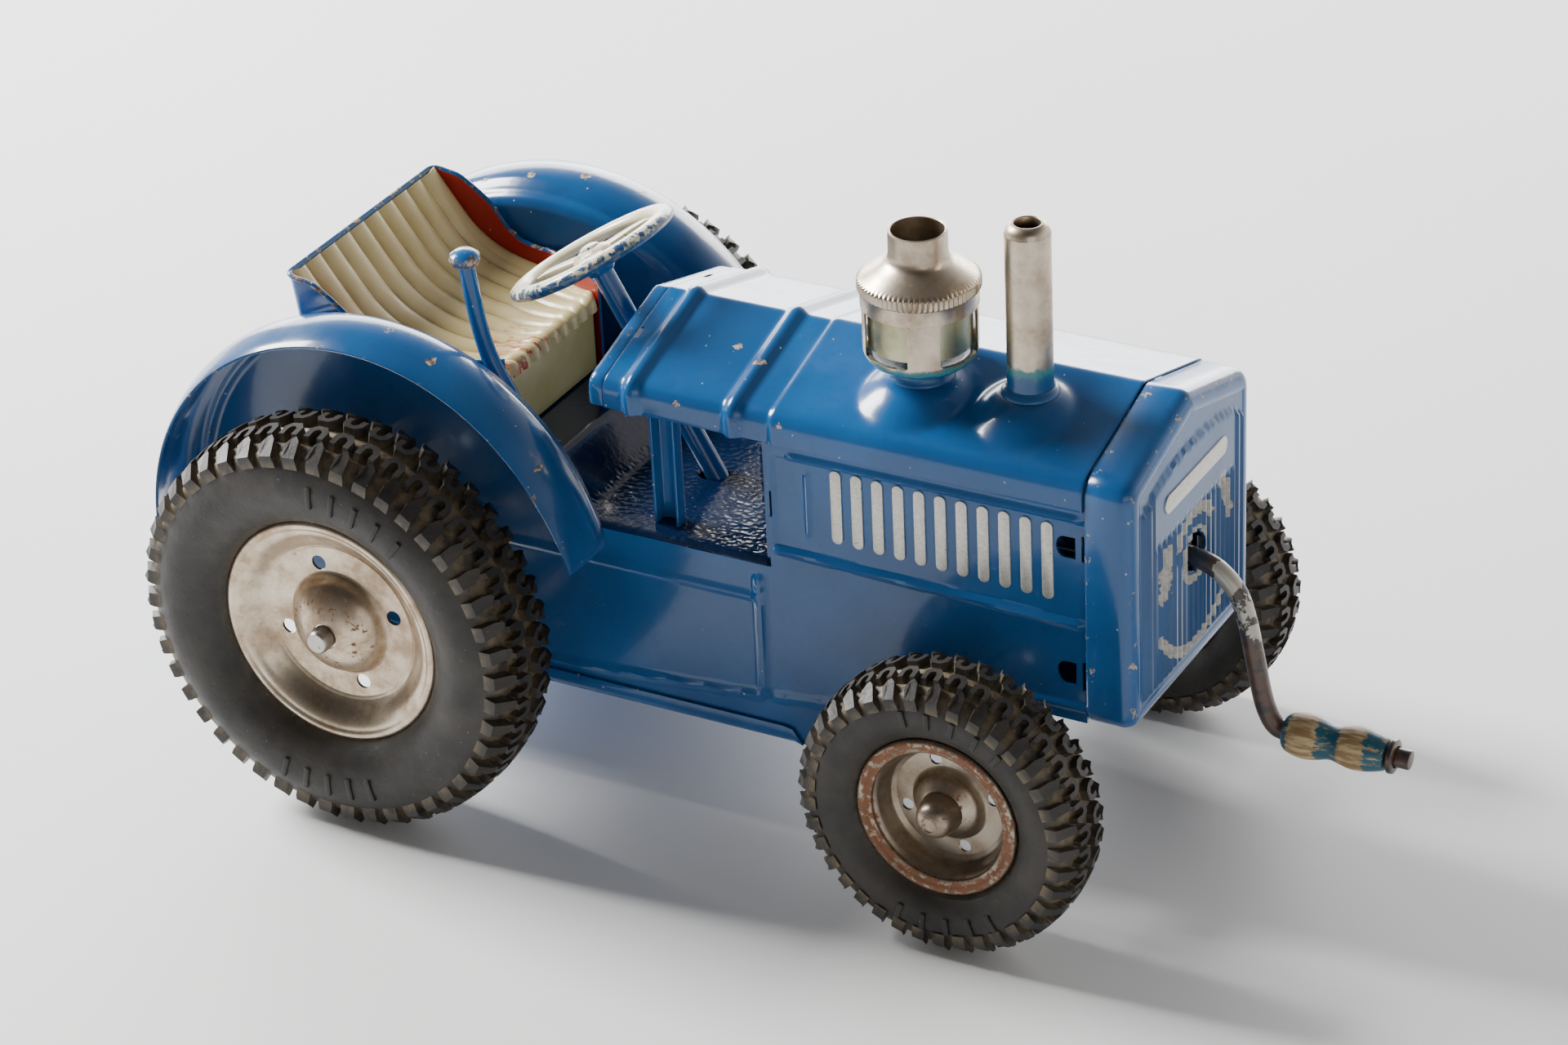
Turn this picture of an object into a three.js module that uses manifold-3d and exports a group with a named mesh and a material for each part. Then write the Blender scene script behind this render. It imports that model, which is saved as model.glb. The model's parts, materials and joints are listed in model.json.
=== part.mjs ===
// A wind-up tin farm tractor. Millimetres, +X forward, +Y to the driver's left, +Z up.
// Every piece is drawn with X = 0 on the rear axle and Z = 0 on the ground. The outer group
// then moves the whole tractor so that its origin is the middle of its footprint.
import * as THREE from 'three';
import { mergeVertices } from 'three/addons/utils/BufferGeometryUtils.js';
import Module from 'manifold-3d';

const wasm = await Module();
wasm.setup();

// ---------------------------------------------------------------- driving dimensions
const TIN = 0.8; // thickness of the pressed sheet
const GAP = 0.3; // air between pieces that touch

const REAR_WHEEL = { x: 0, y: 42.5, radius: 33.5, width: 17, lip: 18.4, hub: 8, holes: 9.8 };
const FRONT_WHEEL = { x: 99.3, y: 36.3, radius: 23, width: 13, lip: 12.6, hub: 5.6, holes: 7.4 };
const AXLE_R = { rear: 2, front: 1.5 };

const SIDE_Y = 20.6; // outer face of the side panels
const SILL_Z = 46.4; // top of the cockpit sill
const HOOD = { rear: 35.3, front: 114, lowZ: 66.9, shoulderZ: 71.2, ridgeZ: 77.4, halfWidth: 21.1 };
const FIREWALL_X = 62;
const RADIATOR = { rear: 114.4, front: 121.2, bottomZ: 31.7, halfWidth: 20.5 };
const BODY = { rear: -24, bottomZ: 15.6, archX: 70, archZ: 31.4 };
const DECK = { frontX: 22, z: 52.4, floorX: 29.5 };

const FENDER = { x: -1.2, z: 37.8, wallY: 22.2, crestY: 29, edgeY: 36, crestR: 39.5, edgeR: 37.8 };
const SEAT = { backX: -20.2, topZ: 78.2, backHalf: 21.3, frontHalf: 14.4, frontX: 13.5, armZ: 67.2 };

const STEER = { hub: new THREE.Vector3(21.9, 0, 80.4), tilt: Math.atan2(0.5, 0.86), radius: 14.2 };
const STEER_ARM = { length: 7.6, footZ: 41, pinMiddle: 4.6 };
const KINGPIN_EAR_Y = -16.5;

const FILTER = { x: 82.5, y: -8.7, baseZ: 76.7 };
const EXHAUST = { x: 99.8, y: -8.2, baseZ: 77.2, height: 27, radius: 3.4 };

const CRANK = { z: 50.5, gripZ: 24.2, rod: 1.5, gripRear: 136.2, gripFront: 152.6, end: 156.3 };
const SHAFT_Z = 32.5; // height of the lower winding shaft and of the spring arbor
const LEVER = { x: 22.5, y: -18, z: 45.2 };

const REAR_END = FENDER.x - FENDER.crestR;
const FRONT_END = CRANK.end;

// Gears: teeth and module
const GEAR_MODULE = 1;
const TEETH = {
  axle: 12, wheel: 24, pinion: 8, great: 22, escape: 10, crown: 20, winding: 18, ratchet: 12,
};
const CROWN_R = 10;

// ---------------------------------------------------------------- materials
const finish = (color, metalness, roughness) =>
  new THREE.MeshStandardMaterial({ color, metalness, roughness });
const blue = () => finish(0x0f4583, 0.2, 0.25);
const darkBlue = () => finish(0x0a1c33, 0.2, 0.2);
const cream = () => finish(0xdcd2a0, 0.0, 0.4);
const nickel = () => finish(0xa39a8c, 0.9, 0.35);
const steel = () => finish(0x8a8680, 0.9, 0.45);
const brass = () => finish(0xb08d4a, 0.9, 0.4);
const rubber = () => finish(0x3c3833, 0.0, 0.8);
const wood = () => finish(0xa88a5c, 0.0, 0.6);

// ---------------------------------------------------------------- solid helpers
/** A closed geometry as a solid that can be joined and cut. */
function solid(geometry) {
  const bare = geometry.clone();
  bare.deleteAttribute('normal');
  bare.deleteAttribute('uv');
  const merged = mergeVertices(bare, 1e-4);
  const index = merged.index.array;
  const triVerts = [];
  for (let i = 0; i < index.length; i += 3) {
    const [a, b, c] = [index[i], index[i + 1], index[i + 2]];
    if (a !== b && b !== c && c !== a) triVerts.push(a, b, c);
  }
  const vertProperties = new Float32Array(merged.attributes.position.array);
  return new wasm.Manifold(
    new wasm.Mesh({ numProp: 3, vertProperties, triVerts: new Uint32Array(triVerts) })
  );
}

/** A solid back as a geometry for a mesh. */
function geometryOf(body) {
  const mesh = body.getMesh();
  const geometry = new THREE.BufferGeometry();
  const vertices = new Float32Array(mesh.numVert * 3);
  for (let i = 0; i < mesh.numVert; i += 1) {
    for (let k = 0; k < 3; k += 1) vertices[3 * i + k] = mesh.vertProperties[i * mesh.numProp + k];
  }
  geometry.setAttribute('position', new THREE.BufferAttribute(vertices, 3));
  geometry.setIndex(new THREE.BufferAttribute(new Uint32Array(mesh.triVerts), 1));
  geometry.computeVertexNormals();
  return geometry;
}

const union = (...bodies) => bodies.reduce((sum, body) => sum.add(body));
const outline = (points) => new THREE.Shape(points.map(([u, v]) => new THREE.Vector2(u, v)));
/** The right half of an outline with its mirror image; points on the middle line are kept once. */
const mirrored = (points) => {
  const offMiddle = points.filter(([u]) => u !== 0);
  return [...points, ...offMiddle.map(([u, v]) => [-u, v]).reverse()];
};

function extruded(shape, depth, curveSegments = 6) {
  return new THREE.ExtrudeGeometry(shape, { depth, bevelEnabled: false, curveSegments });
}

/** An (x, z) outline pushed from y0 to y1. */
function alongY(shape, y0, y1, curveSegments) {
  return solid(extruded(shape, y1 - y0, curveSegments).rotateX(Math.PI / 2).translate(0, y1, 0));
}

/** A (y, z) outline pushed from x0 to x1. */
function alongX(shape, x0, x1, curveSegments) {
  const geometry = extruded(shape, x1 - x0, curveSegments);
  geometry.rotateX(Math.PI / 2).rotateZ(Math.PI / 2).translate(x0, 0, 0);
  return solid(geometry);
}

/** An (x, y) outline pushed from z0 to z1. */
function alongZ(shape, z0, z1, curveSegments) {
  return solid(extruded(shape, z1 - z0, curveSegments).translate(0, 0, z0));
}

function box([x0, x1], [y0, y1], [z0, z1]) {
  const geometry = new THREE.BoxGeometry(x1 - x0, y1 - y0, z1 - z0);
  return solid(geometry.translate((x0 + x1) / 2, (y0 + y1) / 2, (z0 + z1) / 2));
}

/** A round solid from a closed (radius, height) profile. It turns about the given axis. */
function turned(profile, axis, segments = 24) {
  const points = profile.map(([r, h]) => new THREE.Vector2(r, h));
  if (THREE.ShapeUtils.area(points) < 0) points.reverse();
  if (profile[0][0] > 0) points.push(points[0].clone());
  const geometry = new THREE.LatheGeometry(points, segments);
  if (axis === 'z') geometry.rotateX(Math.PI / 2);
  if (axis === 'x') geometry.rotateZ(-Math.PI / 2);
  return solid(geometry);
}

const rod = (r, h0, h1, axis, segments = 12) =>
  turned([[0, h0], [r, h0], [r, h1], [0, h1]], axis, segments);
const ring = (rIn, rOut, h0, h1, axis, segments = 24) =>
  turned([[rIn, h0], [rOut, h0], [rOut, h1], [rIn, h1]], axis, segments);

/** A round bar along a smooth path. */
function bent(points, radius, sides = 8, steps = 24) {
  const path = new THREE.CatmullRomCurve3(points.map((p) => new THREE.Vector3(...p)), false, 'chordal');
  const section = new THREE.Shape();
  for (let i = 0; i < sides; i += 1) {
    const angle = (2 * Math.PI * i) / sides;
    const [u, v] = [radius * Math.cos(angle), radius * Math.sin(angle)];
    if (i === 0) section.moveTo(u, v);
    else section.lineTo(u, v);
  }
  return solid(new THREE.ExtrudeGeometry(section, { steps, bevelEnabled: false, extrudePath: path }));
}

/** A spur gear outline with its first tooth at the angle `phase`. */
function gearOutline(teeth, module, phase, bore = 0) {
  const pitch = (2 * Math.PI) / teeth;
  const pitchR = (module * teeth) / 2;
  const corners = [
    [-0.27, pitchR - 1.1 * module],
    [-0.1, pitchR + 0.8 * module],
    [0.1, pitchR + 0.8 * module],
    [0.27, pitchR - 1.1 * module],
  ];
  const shape = new THREE.Shape();
  for (let i = 0; i < teeth; i += 1) {
    corners.forEach(([offset, r], k) => {
      const angle = phase + (i + offset) * pitch;
      const [u, v] = [r * Math.cos(angle), r * Math.sin(angle)];
      if (i === 0 && k === 0) shape.moveTo(u, v);
      else shape.lineTo(u, v);
    });
  }
  if (bore > 0) shape.holes.push(new THREE.Path().absarc(0, 0, bore, 0, 2 * Math.PI, true));
  return shape;
}

/** The tooth phase that puts a gear in mesh with its neighbour, seen along `direction`. */
function meshedPhase(phase, teeth, nextTeeth, direction) {
  const pitch = (2 * Math.PI) / teeth;
  const fraction = (direction - phase) / pitch;
  return direction + Math.PI + (fraction - 0.5) * ((2 * Math.PI) / nextTeeth);
}

/** Where a gear's centre lies when it meshes with two gears whose centres are known. */
function meshCentre(a, distanceA, b, distanceB, side) {
  const span = Math.hypot(b.x - a.x, b.z - a.z);
  const along = (distanceA ** 2 - distanceB ** 2 + span ** 2) / (2 * span);
  const away = side * Math.sqrt(distanceA ** 2 - along ** 2);
  const [ux, uz] = [(b.x - a.x) / span, (b.z - a.z) / span];
  return { x: a.x + along * ux - away * uz, z: a.z + along * uz + away * ux };
}

const pitchRadius = (teeth) => (GEAR_MODULE * teeth) / 2;
const heading = (a, b) => Math.atan2(b.z - a.z, b.x - a.x);

// ---------------------------------------------------------------- the scene graph
const tractor = new THREE.Group();
tractor.position.x = -(REAR_END + FRONT_END) / 2;

function add(name, body, material, { parent = tractor, at = [0, 0, 0], tilt = 0 } = {}) {
  const mesh = new THREE.Mesh(geometryOf(body), material);
  mesh.name = name;
  mesh.position.set(...at);
  mesh.rotation.y = tilt;
  parent.add(mesh);
  return mesh;
}

// ---------------------------------------------------------------- hood, dash and radiator
/** The gabled section of the hood down to `lowZ`, inset all round, its foot corners cut by `foot`. */
function gable(lowZ, inset = 0, foot = 0) {
  const round = 2.2;
  const half = HOOD.halfWidth - inset;
  const [shoulder, ridge] = [HOOD.shoulderZ - 0.6 * inset, HOOD.ridgeZ - inset];
  const slope = (ridge - shoulder) / half;
  const base = foot > 0 ? [[half - foot, lowZ], [half, lowZ + foot]] : [[half, lowZ]];
  return outline(mirrored([
    ...base,
    [half, shoulder - round],
    [half - 0.3 * round, shoulder - 0.25 * round],
    [half - round, shoulder + slope * round],
    [0, ridge],
  ]));
}

function hoodCover() {
  const shell = (x0, x1, grow) => alongX(gable(HOOD.lowZ, -grow), x0, x1);
  const ribs = [40, 57.2].map((x) => shell(x - 1.5, x + 1.5, 0.7));
  const boss = ({ x, y, baseZ }, r) => {
    const z = baseZ - GAP;
    const line = [[0, 70], [r, 70], [r * 0.9, z - 1.6], [r * 0.62, z], [0, z]];
    return turned(line, 'z', 20).translate([x, y, 0]);
  };
  const outer = union(shell(HOOD.rear, HOOD.front, 0), ...ribs, boss(FILTER, 9), boss(EXHAUST, 6.4));
  return outer.subtract(alongX(gable(0, TIN), HOOD.rear - 1, HOOD.front + 1));
}

function dashPanel() {
  const cup = alongX(gable(67.8), 32.4, HOOD.rear - GAP);
  return cup.subtract(alongX(gable(0, TIN), 32.4 + TIN, HOOD.rear + 1));
}

/** The gabled block of the radiator with a soft front edge, inset all round. */
function radiatorBlock(inset) {
  const { rear, front, bottomZ, halfWidth } = RADIATOR;
  const [bevel, half, nose, low] = [1.9, halfWidth - inset, front - inset, bottomZ + inset];
  const plan = outline([[rear - inset, -half], [nose - bevel, -half], [nose, bevel - half],
    [nose, half - bevel], [nose - bevel, half], [rear - inset, half]]);
  const ridge = HOOD.ridgeZ - 0.5 - inset;
  const side = outline([[rear - inset, low], [nose - bevel, low], [nose, low + bevel],
    [nose, ridge - bevel], [nose - bevel, ridge], [rear - inset, ridge]]);
  return alongX(gable(low, HOOD.halfWidth - half, 2), rear - inset, nose)
    .intersect(alongZ(plan, 0, 100))
    .intersect(alongY(side, -half, half));
}

function radiatorShell() {
  const { rear, front, bottomZ } = RADIATOR;
  const ribs = Array.from({ length: 19 }, (_, i) => {
    const y = (i - 9) * 1.75;
    return box([front - 0.2, front + 0.4], [y - 0.4, y + 0.4], [bottomZ + 3, HOOD.ridgeZ - 12]);
  });
  const plate = alongX(outline(mirrored([[13, 66.2], [13, 69.6], [0, 73.4]])), front - 0.2, front + 0.6);
  const hole = rod(3.35, rear, front + 2, 'x', 20).translate([0, 0, CRANK.z]);
  return union(radiatorBlock(0), ...ribs, plate).subtract(radiatorBlock(TIN)).subtract(hole);
}

add('hood_cover', hoodCover(), blue());
add('dash_panel', dashPanel(), blue());
add('radiator_shell', radiatorShell(), blue());

// ---------------------------------------------------------------- side panels
/** One side panel in (x, z): low behind, raised over the front axle. */
function sideOutline() {
  const top = HOOD.lowZ - GAP;
  return outline([
    [BODY.rear, BODY.bottomZ], [BODY.archX - 3, BODY.bottomZ], [BODY.archX + 3, BODY.bottomZ + 4],
    [BODY.archX + 12, BODY.archZ], [HOOD.front, BODY.archZ], [HOOD.front, top],
    [FIREWALL_X + 0.5, top], [FIREWALL_X + 0.5, SILL_Z - TIN - GAP], [DECK.floorX, SILL_Z - TIN - GAP],
    [BODY.rear, SILL_Z - TIN - GAP],
  ]);
}

const pill = (x0, x1, z0, z1) => {
  const r = (x1 - x0) / 2;
  const shape = new THREE.Shape();
  shape.moveTo(x0, z0 + r);
  shape.absarc(x0 + r, z0 + r, r, Math.PI, 2 * Math.PI, false);
  shape.absarc(x0 + r, z1 - r, r, 0, Math.PI, false);
  return shape;
};

/** `side` is +1 for the left panel and -1 for the right one. */
function sidePanel(side) {
  const sheet = alongY(sideOutline(), SIDE_Y - TIN, SIDE_Y);
  const louvres = Array.from({ length: 11 }, (_, i) => {
    const x = 73.8 + 3.42 * i;
    const drop = 0.11 * i;
    return alongY(pill(x - 0.9, x + 0.9, 53 - drop, 63.6 - 0.07 * i), SIDE_Y - 0.2, SIDE_Y + 0.35, 2);
  });
  const bead = (x0, x1, z0, z1) => box([x0, x1], [SIDE_Y - 0.2, SIDE_Y + 0.4], [z0, z1]);
  const beads = [bead(64, 113, 47.8, 48.8), bead(59.6, 61, 24, 42.6), bead(30, 59.6, 38.9, 39.9)];
  const holes = [
    box([109.3, 112.4], [SIDE_Y - 2, SIDE_Y + 2], [58.4, 61.9]),
    box([109.3, 112.4], [SIDE_Y - 2, SIDE_Y + 2], [37.5, 41.2]),
    rod(AXLE_R.rear + 1, SIDE_Y - 2, SIDE_Y + 2, 'y').translate([0, 0, REAR_WHEEL.radius]),
  ];
  const panel = union(sheet, ...louvres, ...beads).subtract(union(...holes));
  return side > 0 ? panel : panel.mirror([0, 1, 0]);
}

add('side_panel_left', sidePanel(1), blue());
add('side_panel_right', sidePanel(-1), blue());

// ---------------------------------------------------------------- floor, firewall and base
function floorPlate() {
  const half = SIDE_Y + 0.1;
  const [slopeFoot, slopeTop] = [[DECK.floorX, SILL_Z], [DECK.frontX, DECK.z]];
  const line = [[FIREWALL_X - 1.2, SILL_Z], slopeFoot, slopeTop, [BODY.rear, DECK.z]];
  const under = [...line].reverse().map(([x, z]) => [x, z - TIN]);
  const plate = alongY(outline([...line, ...under]), -half, half);
  const columnHole = rod(2.4, -8, 8, 'z').rotate([0, -30.2, 0]).translate([41.2, 0, SILL_Z]);
  const leverSlot = box([18.6, 25.4], [LEVER.y - 1.9, LEVER.y + 1.9], [40, 60]);
  return plate.subtract(columnHole).subtract(leverSlot);
}

function firewallPanel() {
  const half = SIDE_Y - TIN - GAP;
  const sheet = box([FIREWALL_X - TIN, FIREWALL_X], [-half, half], [17.2, 69.6]);
  const shaftHole = (z) => rod(2, 50, 70, 'x').translate([0, 0, z]);
  const linkSlot = box([60, 64], [-15, -8.5], [33.5, 41]);
  return sheet.subtract(union(shaftHole(CRANK.z), shaftHole(SHAFT_Z), linkSlot));
}

const panelHalf = SIDE_Y - TIN - GAP;
add('floor_plate', floorPlate(), darkBlue());
add('firewall_panel', firewallPanel(), blue());
const baseZ = [BODY.bottomZ + 0.2, BODY.bottomZ + 1];
add('base_plate', box([BODY.rear, BODY.archX - 4], [-panelHalf, panelHalf], baseZ), blue());
add('rear_panel', box([BODY.rear, BODY.rear + TIN], [-panelHalf, panelHalf],
  [BODY.bottomZ + 1 + GAP, DECK.z - TIN - GAP]), blue());

for (const [side, word] of [[1, 'left'], [-1, 'right']]) {
  const post = union(
    box([40.6, 44.8], [14.6, 15.3], [SILL_Z + GAP, 71.4]),
    box([40.6, 41.3], [14.6, 17.4], [SILL_Z + GAP, 71.4]),
    box([44.1, 44.8], [14.6, 17.4], [SILL_Z + GAP, 71.4])
  );
  add(`dash_post_${word}`, side > 0 ? post : post.mirror([0, 1, 0]), blue());
}

// ---------------------------------------------------------------- seat
/** The seat's plan: square at the back, drawn in towards the front. */
function seatPlan(inset) {
  const [back, front] = [SEAT.backHalf - inset, SEAT.frontHalf - inset];
  return alongZ(outline([[-30, -back], [2, -back], [SEAT.frontX + 0.6, -front],
    [SEAT.frontX + 0.6, front], [2, back], [-30, back]]), 40, 90);
}

function seatTub() {
  const base = DECK.z + GAP;
  const side = outline([[-16.6, base], [SEAT.backX, SEAT.topZ], [-15.2, 77.6], [-12.4, 76], [-9.6, 73.4],
    [-7.4, 70.4], [-5, 68.3], [-1.5, SEAT.armZ], [SEAT.frontX + 0.6, SEAT.armZ],
    [SEAT.frontX + 0.6, base]]);
  const above = SEAT.topZ + 2;
  const hollow = outline([[-15.7, base + TIN], [-19.6, above], [40, above], [40, base + TIN]]);
  const block = alongY(side, -SEAT.backHalf, SEAT.backHalf).intersect(seatPlan(0));
  return block.subtract(alongY(hollow, -SEAT.backHalf, SEAT.backHalf).intersect(seatPlan(TIN)));
}

function seatCushion() {
  const top = [[-18.4, 77.6], [-15, 71.7], [-12.6, 68.8], [-9.5, 66.4], [-6, 64.7], [-2.2, 63.6],
    [5.2, 62.9], [10, 63.6], [12.6, 64.6]];
  const under = [...top].reverse().map(([x, z], i) => [x - (i > 5 ? 0.4 : 0), z - (i > 6 ? 1.4 : 1.1)]);
  const sheet = alongY(outline([...top, ...under]), -SEAT.backHalf, SEAT.backHalf);
  return sheet.intersect(seatPlan(TIN + GAP));
}

add('seat_tub', seatTub(), blue());
add('seat_cushion', seatCushion(), cream());
const seatFrontZ = [DECK.z + GAP + TIN + GAP, 62.6];
add('seat_front', box([SEAT.frontX - 1.2, SEAT.frontX - 0.3], [-13, 13], seatFrontZ), cream());

// ---------------------------------------------------------------- mudguards
/** A mudguard on the left. The arch is turned about its own centre and cut off at the sill. */
function fender() {
  const { wallY, crestY, edgeY, crestR, edgeR } = FENDER;
  const skin = [[crestR - 4, wallY], [crestR - 1.9, wallY + 1.6], [crestR, crestY], [edgeR, edgeY]];
  const inner = [...skin].reverse().map(([r, y], i) => [r - TIN, i === 3 ? y + TIN : y + 0.01]);
  const arch = turned([...skin, ...inner.map(([r, y]) => [r, Math.min(y, edgeY)])], 'y', 36);
  const wall = rod(crestR - 4.1, wallY, wallY + TIN, 'y', 36);
  const keep = box([-60, 60], [0, 60], [SILL_Z - FENDER.z, 60]);
  const tail = box([-60, -FENDER.x - 26], [0, 60], [-0.5, SILL_Z]);
  const guard = union(arch, wall).intersect(union(keep, tail));
  return guard;
}

for (const [side, word] of [[1, 'left'], [-1, 'right']]) {
  const guard = side > 0 ? fender() : fender().mirror([0, 1, 0]);
  add(`fender_${word}`, guard, blue(), { at: [FENDER.x, 0, FENDER.z] });
}

// ---------------------------------------------------------------- exhaust and air filter
const exhaustR = EXHAUST.radius;
add('exhaust_pipe', turned([
  [0, 0], [exhaustR + 0.7, 0], [exhaustR + 0.7, 0.8], [exhaustR, 1.4], [exhaustR, EXHAUST.height - 1],
  [exhaustR - 0.5, EXHAUST.height], [2.1, EXHAUST.height], [2.1, 3], [0, 3],
], 'z', 20), nickel(), { at: [EXHAUST.x, EXHAUST.y, EXHAUST.baseZ] });

function filterBowl() {
  const wall = turned([[0, 0], [4.6, 0], [4.4, 1.2], [6.4, 1.8], [7.9, 3.2], [8.3, 4.6], [8.3, 13.4],
    [7.7, 13.4], [7.5, 3.9], [7.2, 3], [0, 3]], 'z', 20);
  const windows = [0, 90].map((turn) =>
    box([-12, 12], [-3.3, 3.3], [4.8, 12.2]).rotate([0, 0, turn + 20]));
  return windows.reduce((bowl, hole) => bowl.subtract(hole), wall);
}

const filterAt = (dz) => ({ at: [FILTER.x, FILTER.y, FILTER.baseZ + dz] });
add('filter_bowl', filterBowl(), nickel(), filterAt(0));
add('filter_sleeve', ring(6.6, 7.1, 3.3, 13.3, 'z', 20), steel(), filterAt(0));
add('filter_cap', turned([[0, 13.7], [8.5, 13.7], [8.5, 14.3], [8.9, 14.5], [8.9, 16.3], [8.4, 16.8],
  [8.1, 16.8], [6, 18.4], [4.3, 18.8], [4.3, 23.3], [3.7, 23.3], [3.7, 16.5], [0, 16.5]], 'z', 20),
nickel(), filterAt(0));

// ---------------------------------------------------------------- wheels
/** The tyre's section as (radius, offset from the tyre's middle). */
function tyre({ radius, width, lip }, segments) {
  const half = width / 2;
  const side = [[lip - 1.6, half * 0.4], [lip + 0.6, half * 0.48],
    [(lip + radius) / 2, half], [radius, half * 0.7]];
  return turned([...side, ...side.map(([r, y]) => [r, -y]).reverse()], 'y', segments);
}

/** A pressed rim: two lips, a dished disc with four holes and a domed hub facing outwards. */
function rim({ lip, hub, holes, width }, axleR) {
  const edge = width * 0.25;
  const [face, bore] = [edge - 2.8, axleR + GAP];
  const channel = [[lip, edge + 0.7], [lip, edge + 0.1], [lip - 1.9, edge - 0.3], [lip - 1.9, 0.3 - edge],
    [lip, -edge - 0.1], [lip, -edge - 0.7], [lip - 2.7, 0.3 - edge]];
  const disc = [[lip - 3, face - 0.7], [hub - 0.4, face - 0.7], [bore, edge - 1.4], [bore, edge - 0.5],
    [hub, face], [lip - 3.6, face], [lip - 2.2, edge + 0.7]];
  const pressed = turned([...channel, ...disc], 'y', 20);
  const drilled = Array.from({ length: 4 }, (_, i) => {
    const angle = (Math.PI / 2) * i + 0.3;
    return rod(1.25, -20, 20, 'y', 6).translate([holes * Math.cos(angle), 0, holes * Math.sin(angle)]);
  });
  return pressed.subtract(union(...drilled));
}

const HUB_CAP_Y = 43.1;
const AXLE_END = { rear: 51, front: 42.8 };
const frontAxle = { at: [FRONT_WHEEL.x, 0, FRONT_WHEEL.radius] };

for (const [side, word] of [[1, 'left'], [-1, 'right']]) {
  for (const [wheel, place, segments] of [[REAR_WHEEL, 'rear', 36], [FRONT_WHEEL, 'front', 28]]) {
    const at = [wheel.x, side * wheel.y, wheel.radius];
    const disc = rim(wheel, AXLE_R[place]);
    add(`${place}_tyre_${word}`, tyre(wheel, segments), rubber(), { at });
    add(`${place}_rim_${word}`, side > 0 ? disc : disc.mirror([0, 1, 0]), nickel(), { at });
  }
  const cap = turned([[0, 0], [3, 0], [2.7, 1], [1.6, 1.8], [0, 2.1]], 'y', 16);
  const outside = cap.translate([0, HUB_CAP_Y, 0]);
  add(`hub_cap_${word}`, side > 0 ? outside : outside.mirror([0, 1, 0]), nickel(), frontAxle);
}

add('rear_axle', rod(AXLE_R.rear, -AXLE_END.rear, AXLE_END.rear, 'y', 16), steel(),
  { at: [0, 0, REAR_WHEEL.radius] });
add('front_axle', rod(AXLE_R.front, -AXLE_END.front, AXLE_END.front, 'y', 12), steel(), frontAxle);

// ---------------------------------------------------------------- front axle and steering
const BEAM = { half: 26, width: 9, topZ: 4.2, thick: 1 };
const KING_PIN_HOLE = 2.3;

function frontBeam() {
  const { half, width, topZ, thick } = BEAM;
  const top = box([-width / 2, width / 2], [-half, half], [topZ - thick, topZ]);
  const flap = (y) => box([-width / 2, width / 2], [y, y + thick], [-4, topZ])
    .subtract(rod(AXLE_R.front + GAP, y - 1, y + 2, 'y'));
  const ear = rod(1.2, 3.6, 5.4, 'z', 10).translate([0, KINGPIN_EAR_Y, 0]);
  return union(top, flap(-half), flap(half - thick), ear).subtract(rod(KING_PIN_HOLE, 2, 6, 'z'));
}

add('front_axle_beam', frontBeam(), steel(), frontAxle);
add('king_pin', turned([[0, 24.9], [3.4, 24.9], [3.4, 25.9], [2, 25.9], [2, 27.5], [3.2, 27.5], [3.2, 30.9],
  [2, 30.9], [2, 32.5], [3.4, 32.5], [3.4, 33.5], [0, 33.5]], 'z', 10), steel(),
{ at: [FRONT_WHEEL.x, 0, 0] });
add('front_bracket', box([88, 113.6], [-panelHalf, panelHalf], [31.2, 32.2])
  .subtract(rod(KING_PIN_HOLE, 30, 34, 'z').translate([FRONT_WHEEL.x, 0, 0])), blue());

// Column, wheel and foot arm are drawn upright about the column's line and then tilted back.
const steering = new THREE.Group();
steering.position.copy(STEER.hub);
steering.rotation.y = -STEER.tilt;
tractor.add(steering);
const columnLength = (STEER.hub.z - STEER_ARM.footZ) / Math.cos(STEER.tilt);

function steeringWheel() {
  const hoopR = 1.7;
  const rimR = STEER.radius - hoopR;
  const hoop = turned(Array.from({ length: 6 }, (_, i) => {
    const angle = (Math.PI / 3) * i;
    return [rimR + hoopR * Math.cos(angle), 1.3 * Math.sin(angle)];
  }), 'z', 24);
  const spoke = box([2, rimR], [-1.6, 1.6], [-0.8, 0.4]);
  const spokes = [60, 180, 300].map((turn) => spoke.rotate([0, 0, turn]));
  const hub = turned([[0, -1.4], [3.4, -1.4], [3.4, 0.6], [2.2, 1.3], [0, 1.5]], 'z', 12);
  return union(hoop, ...spokes, hub);
}

add('steering_wheel', steeringWheel(), cream(), { parent: steering });
add('steering_column', union(
  rod(1.7, -columnLength, -1.7, 'z', 12),
  rod(2.4, -3.4, -1.7, 'z', 12)
), blue(), { parent: steering });
add('steering_arm', union(
  rod(2.6, -columnLength - 1.8, -columnLength - GAP, 'z', 12),
  box([-1.2, 1.2], [-STEER_ARM.length, 0], [-columnLength - 1.8, -columnLength - GAP]),
  rod(0.8, -columnLength - STEER_ARM.pinMiddle - 1.8, -columnLength - 1, 'z', 8).translate([0, -STEER_ARM.length, 0])
), steel(), { parent: steering });

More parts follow.
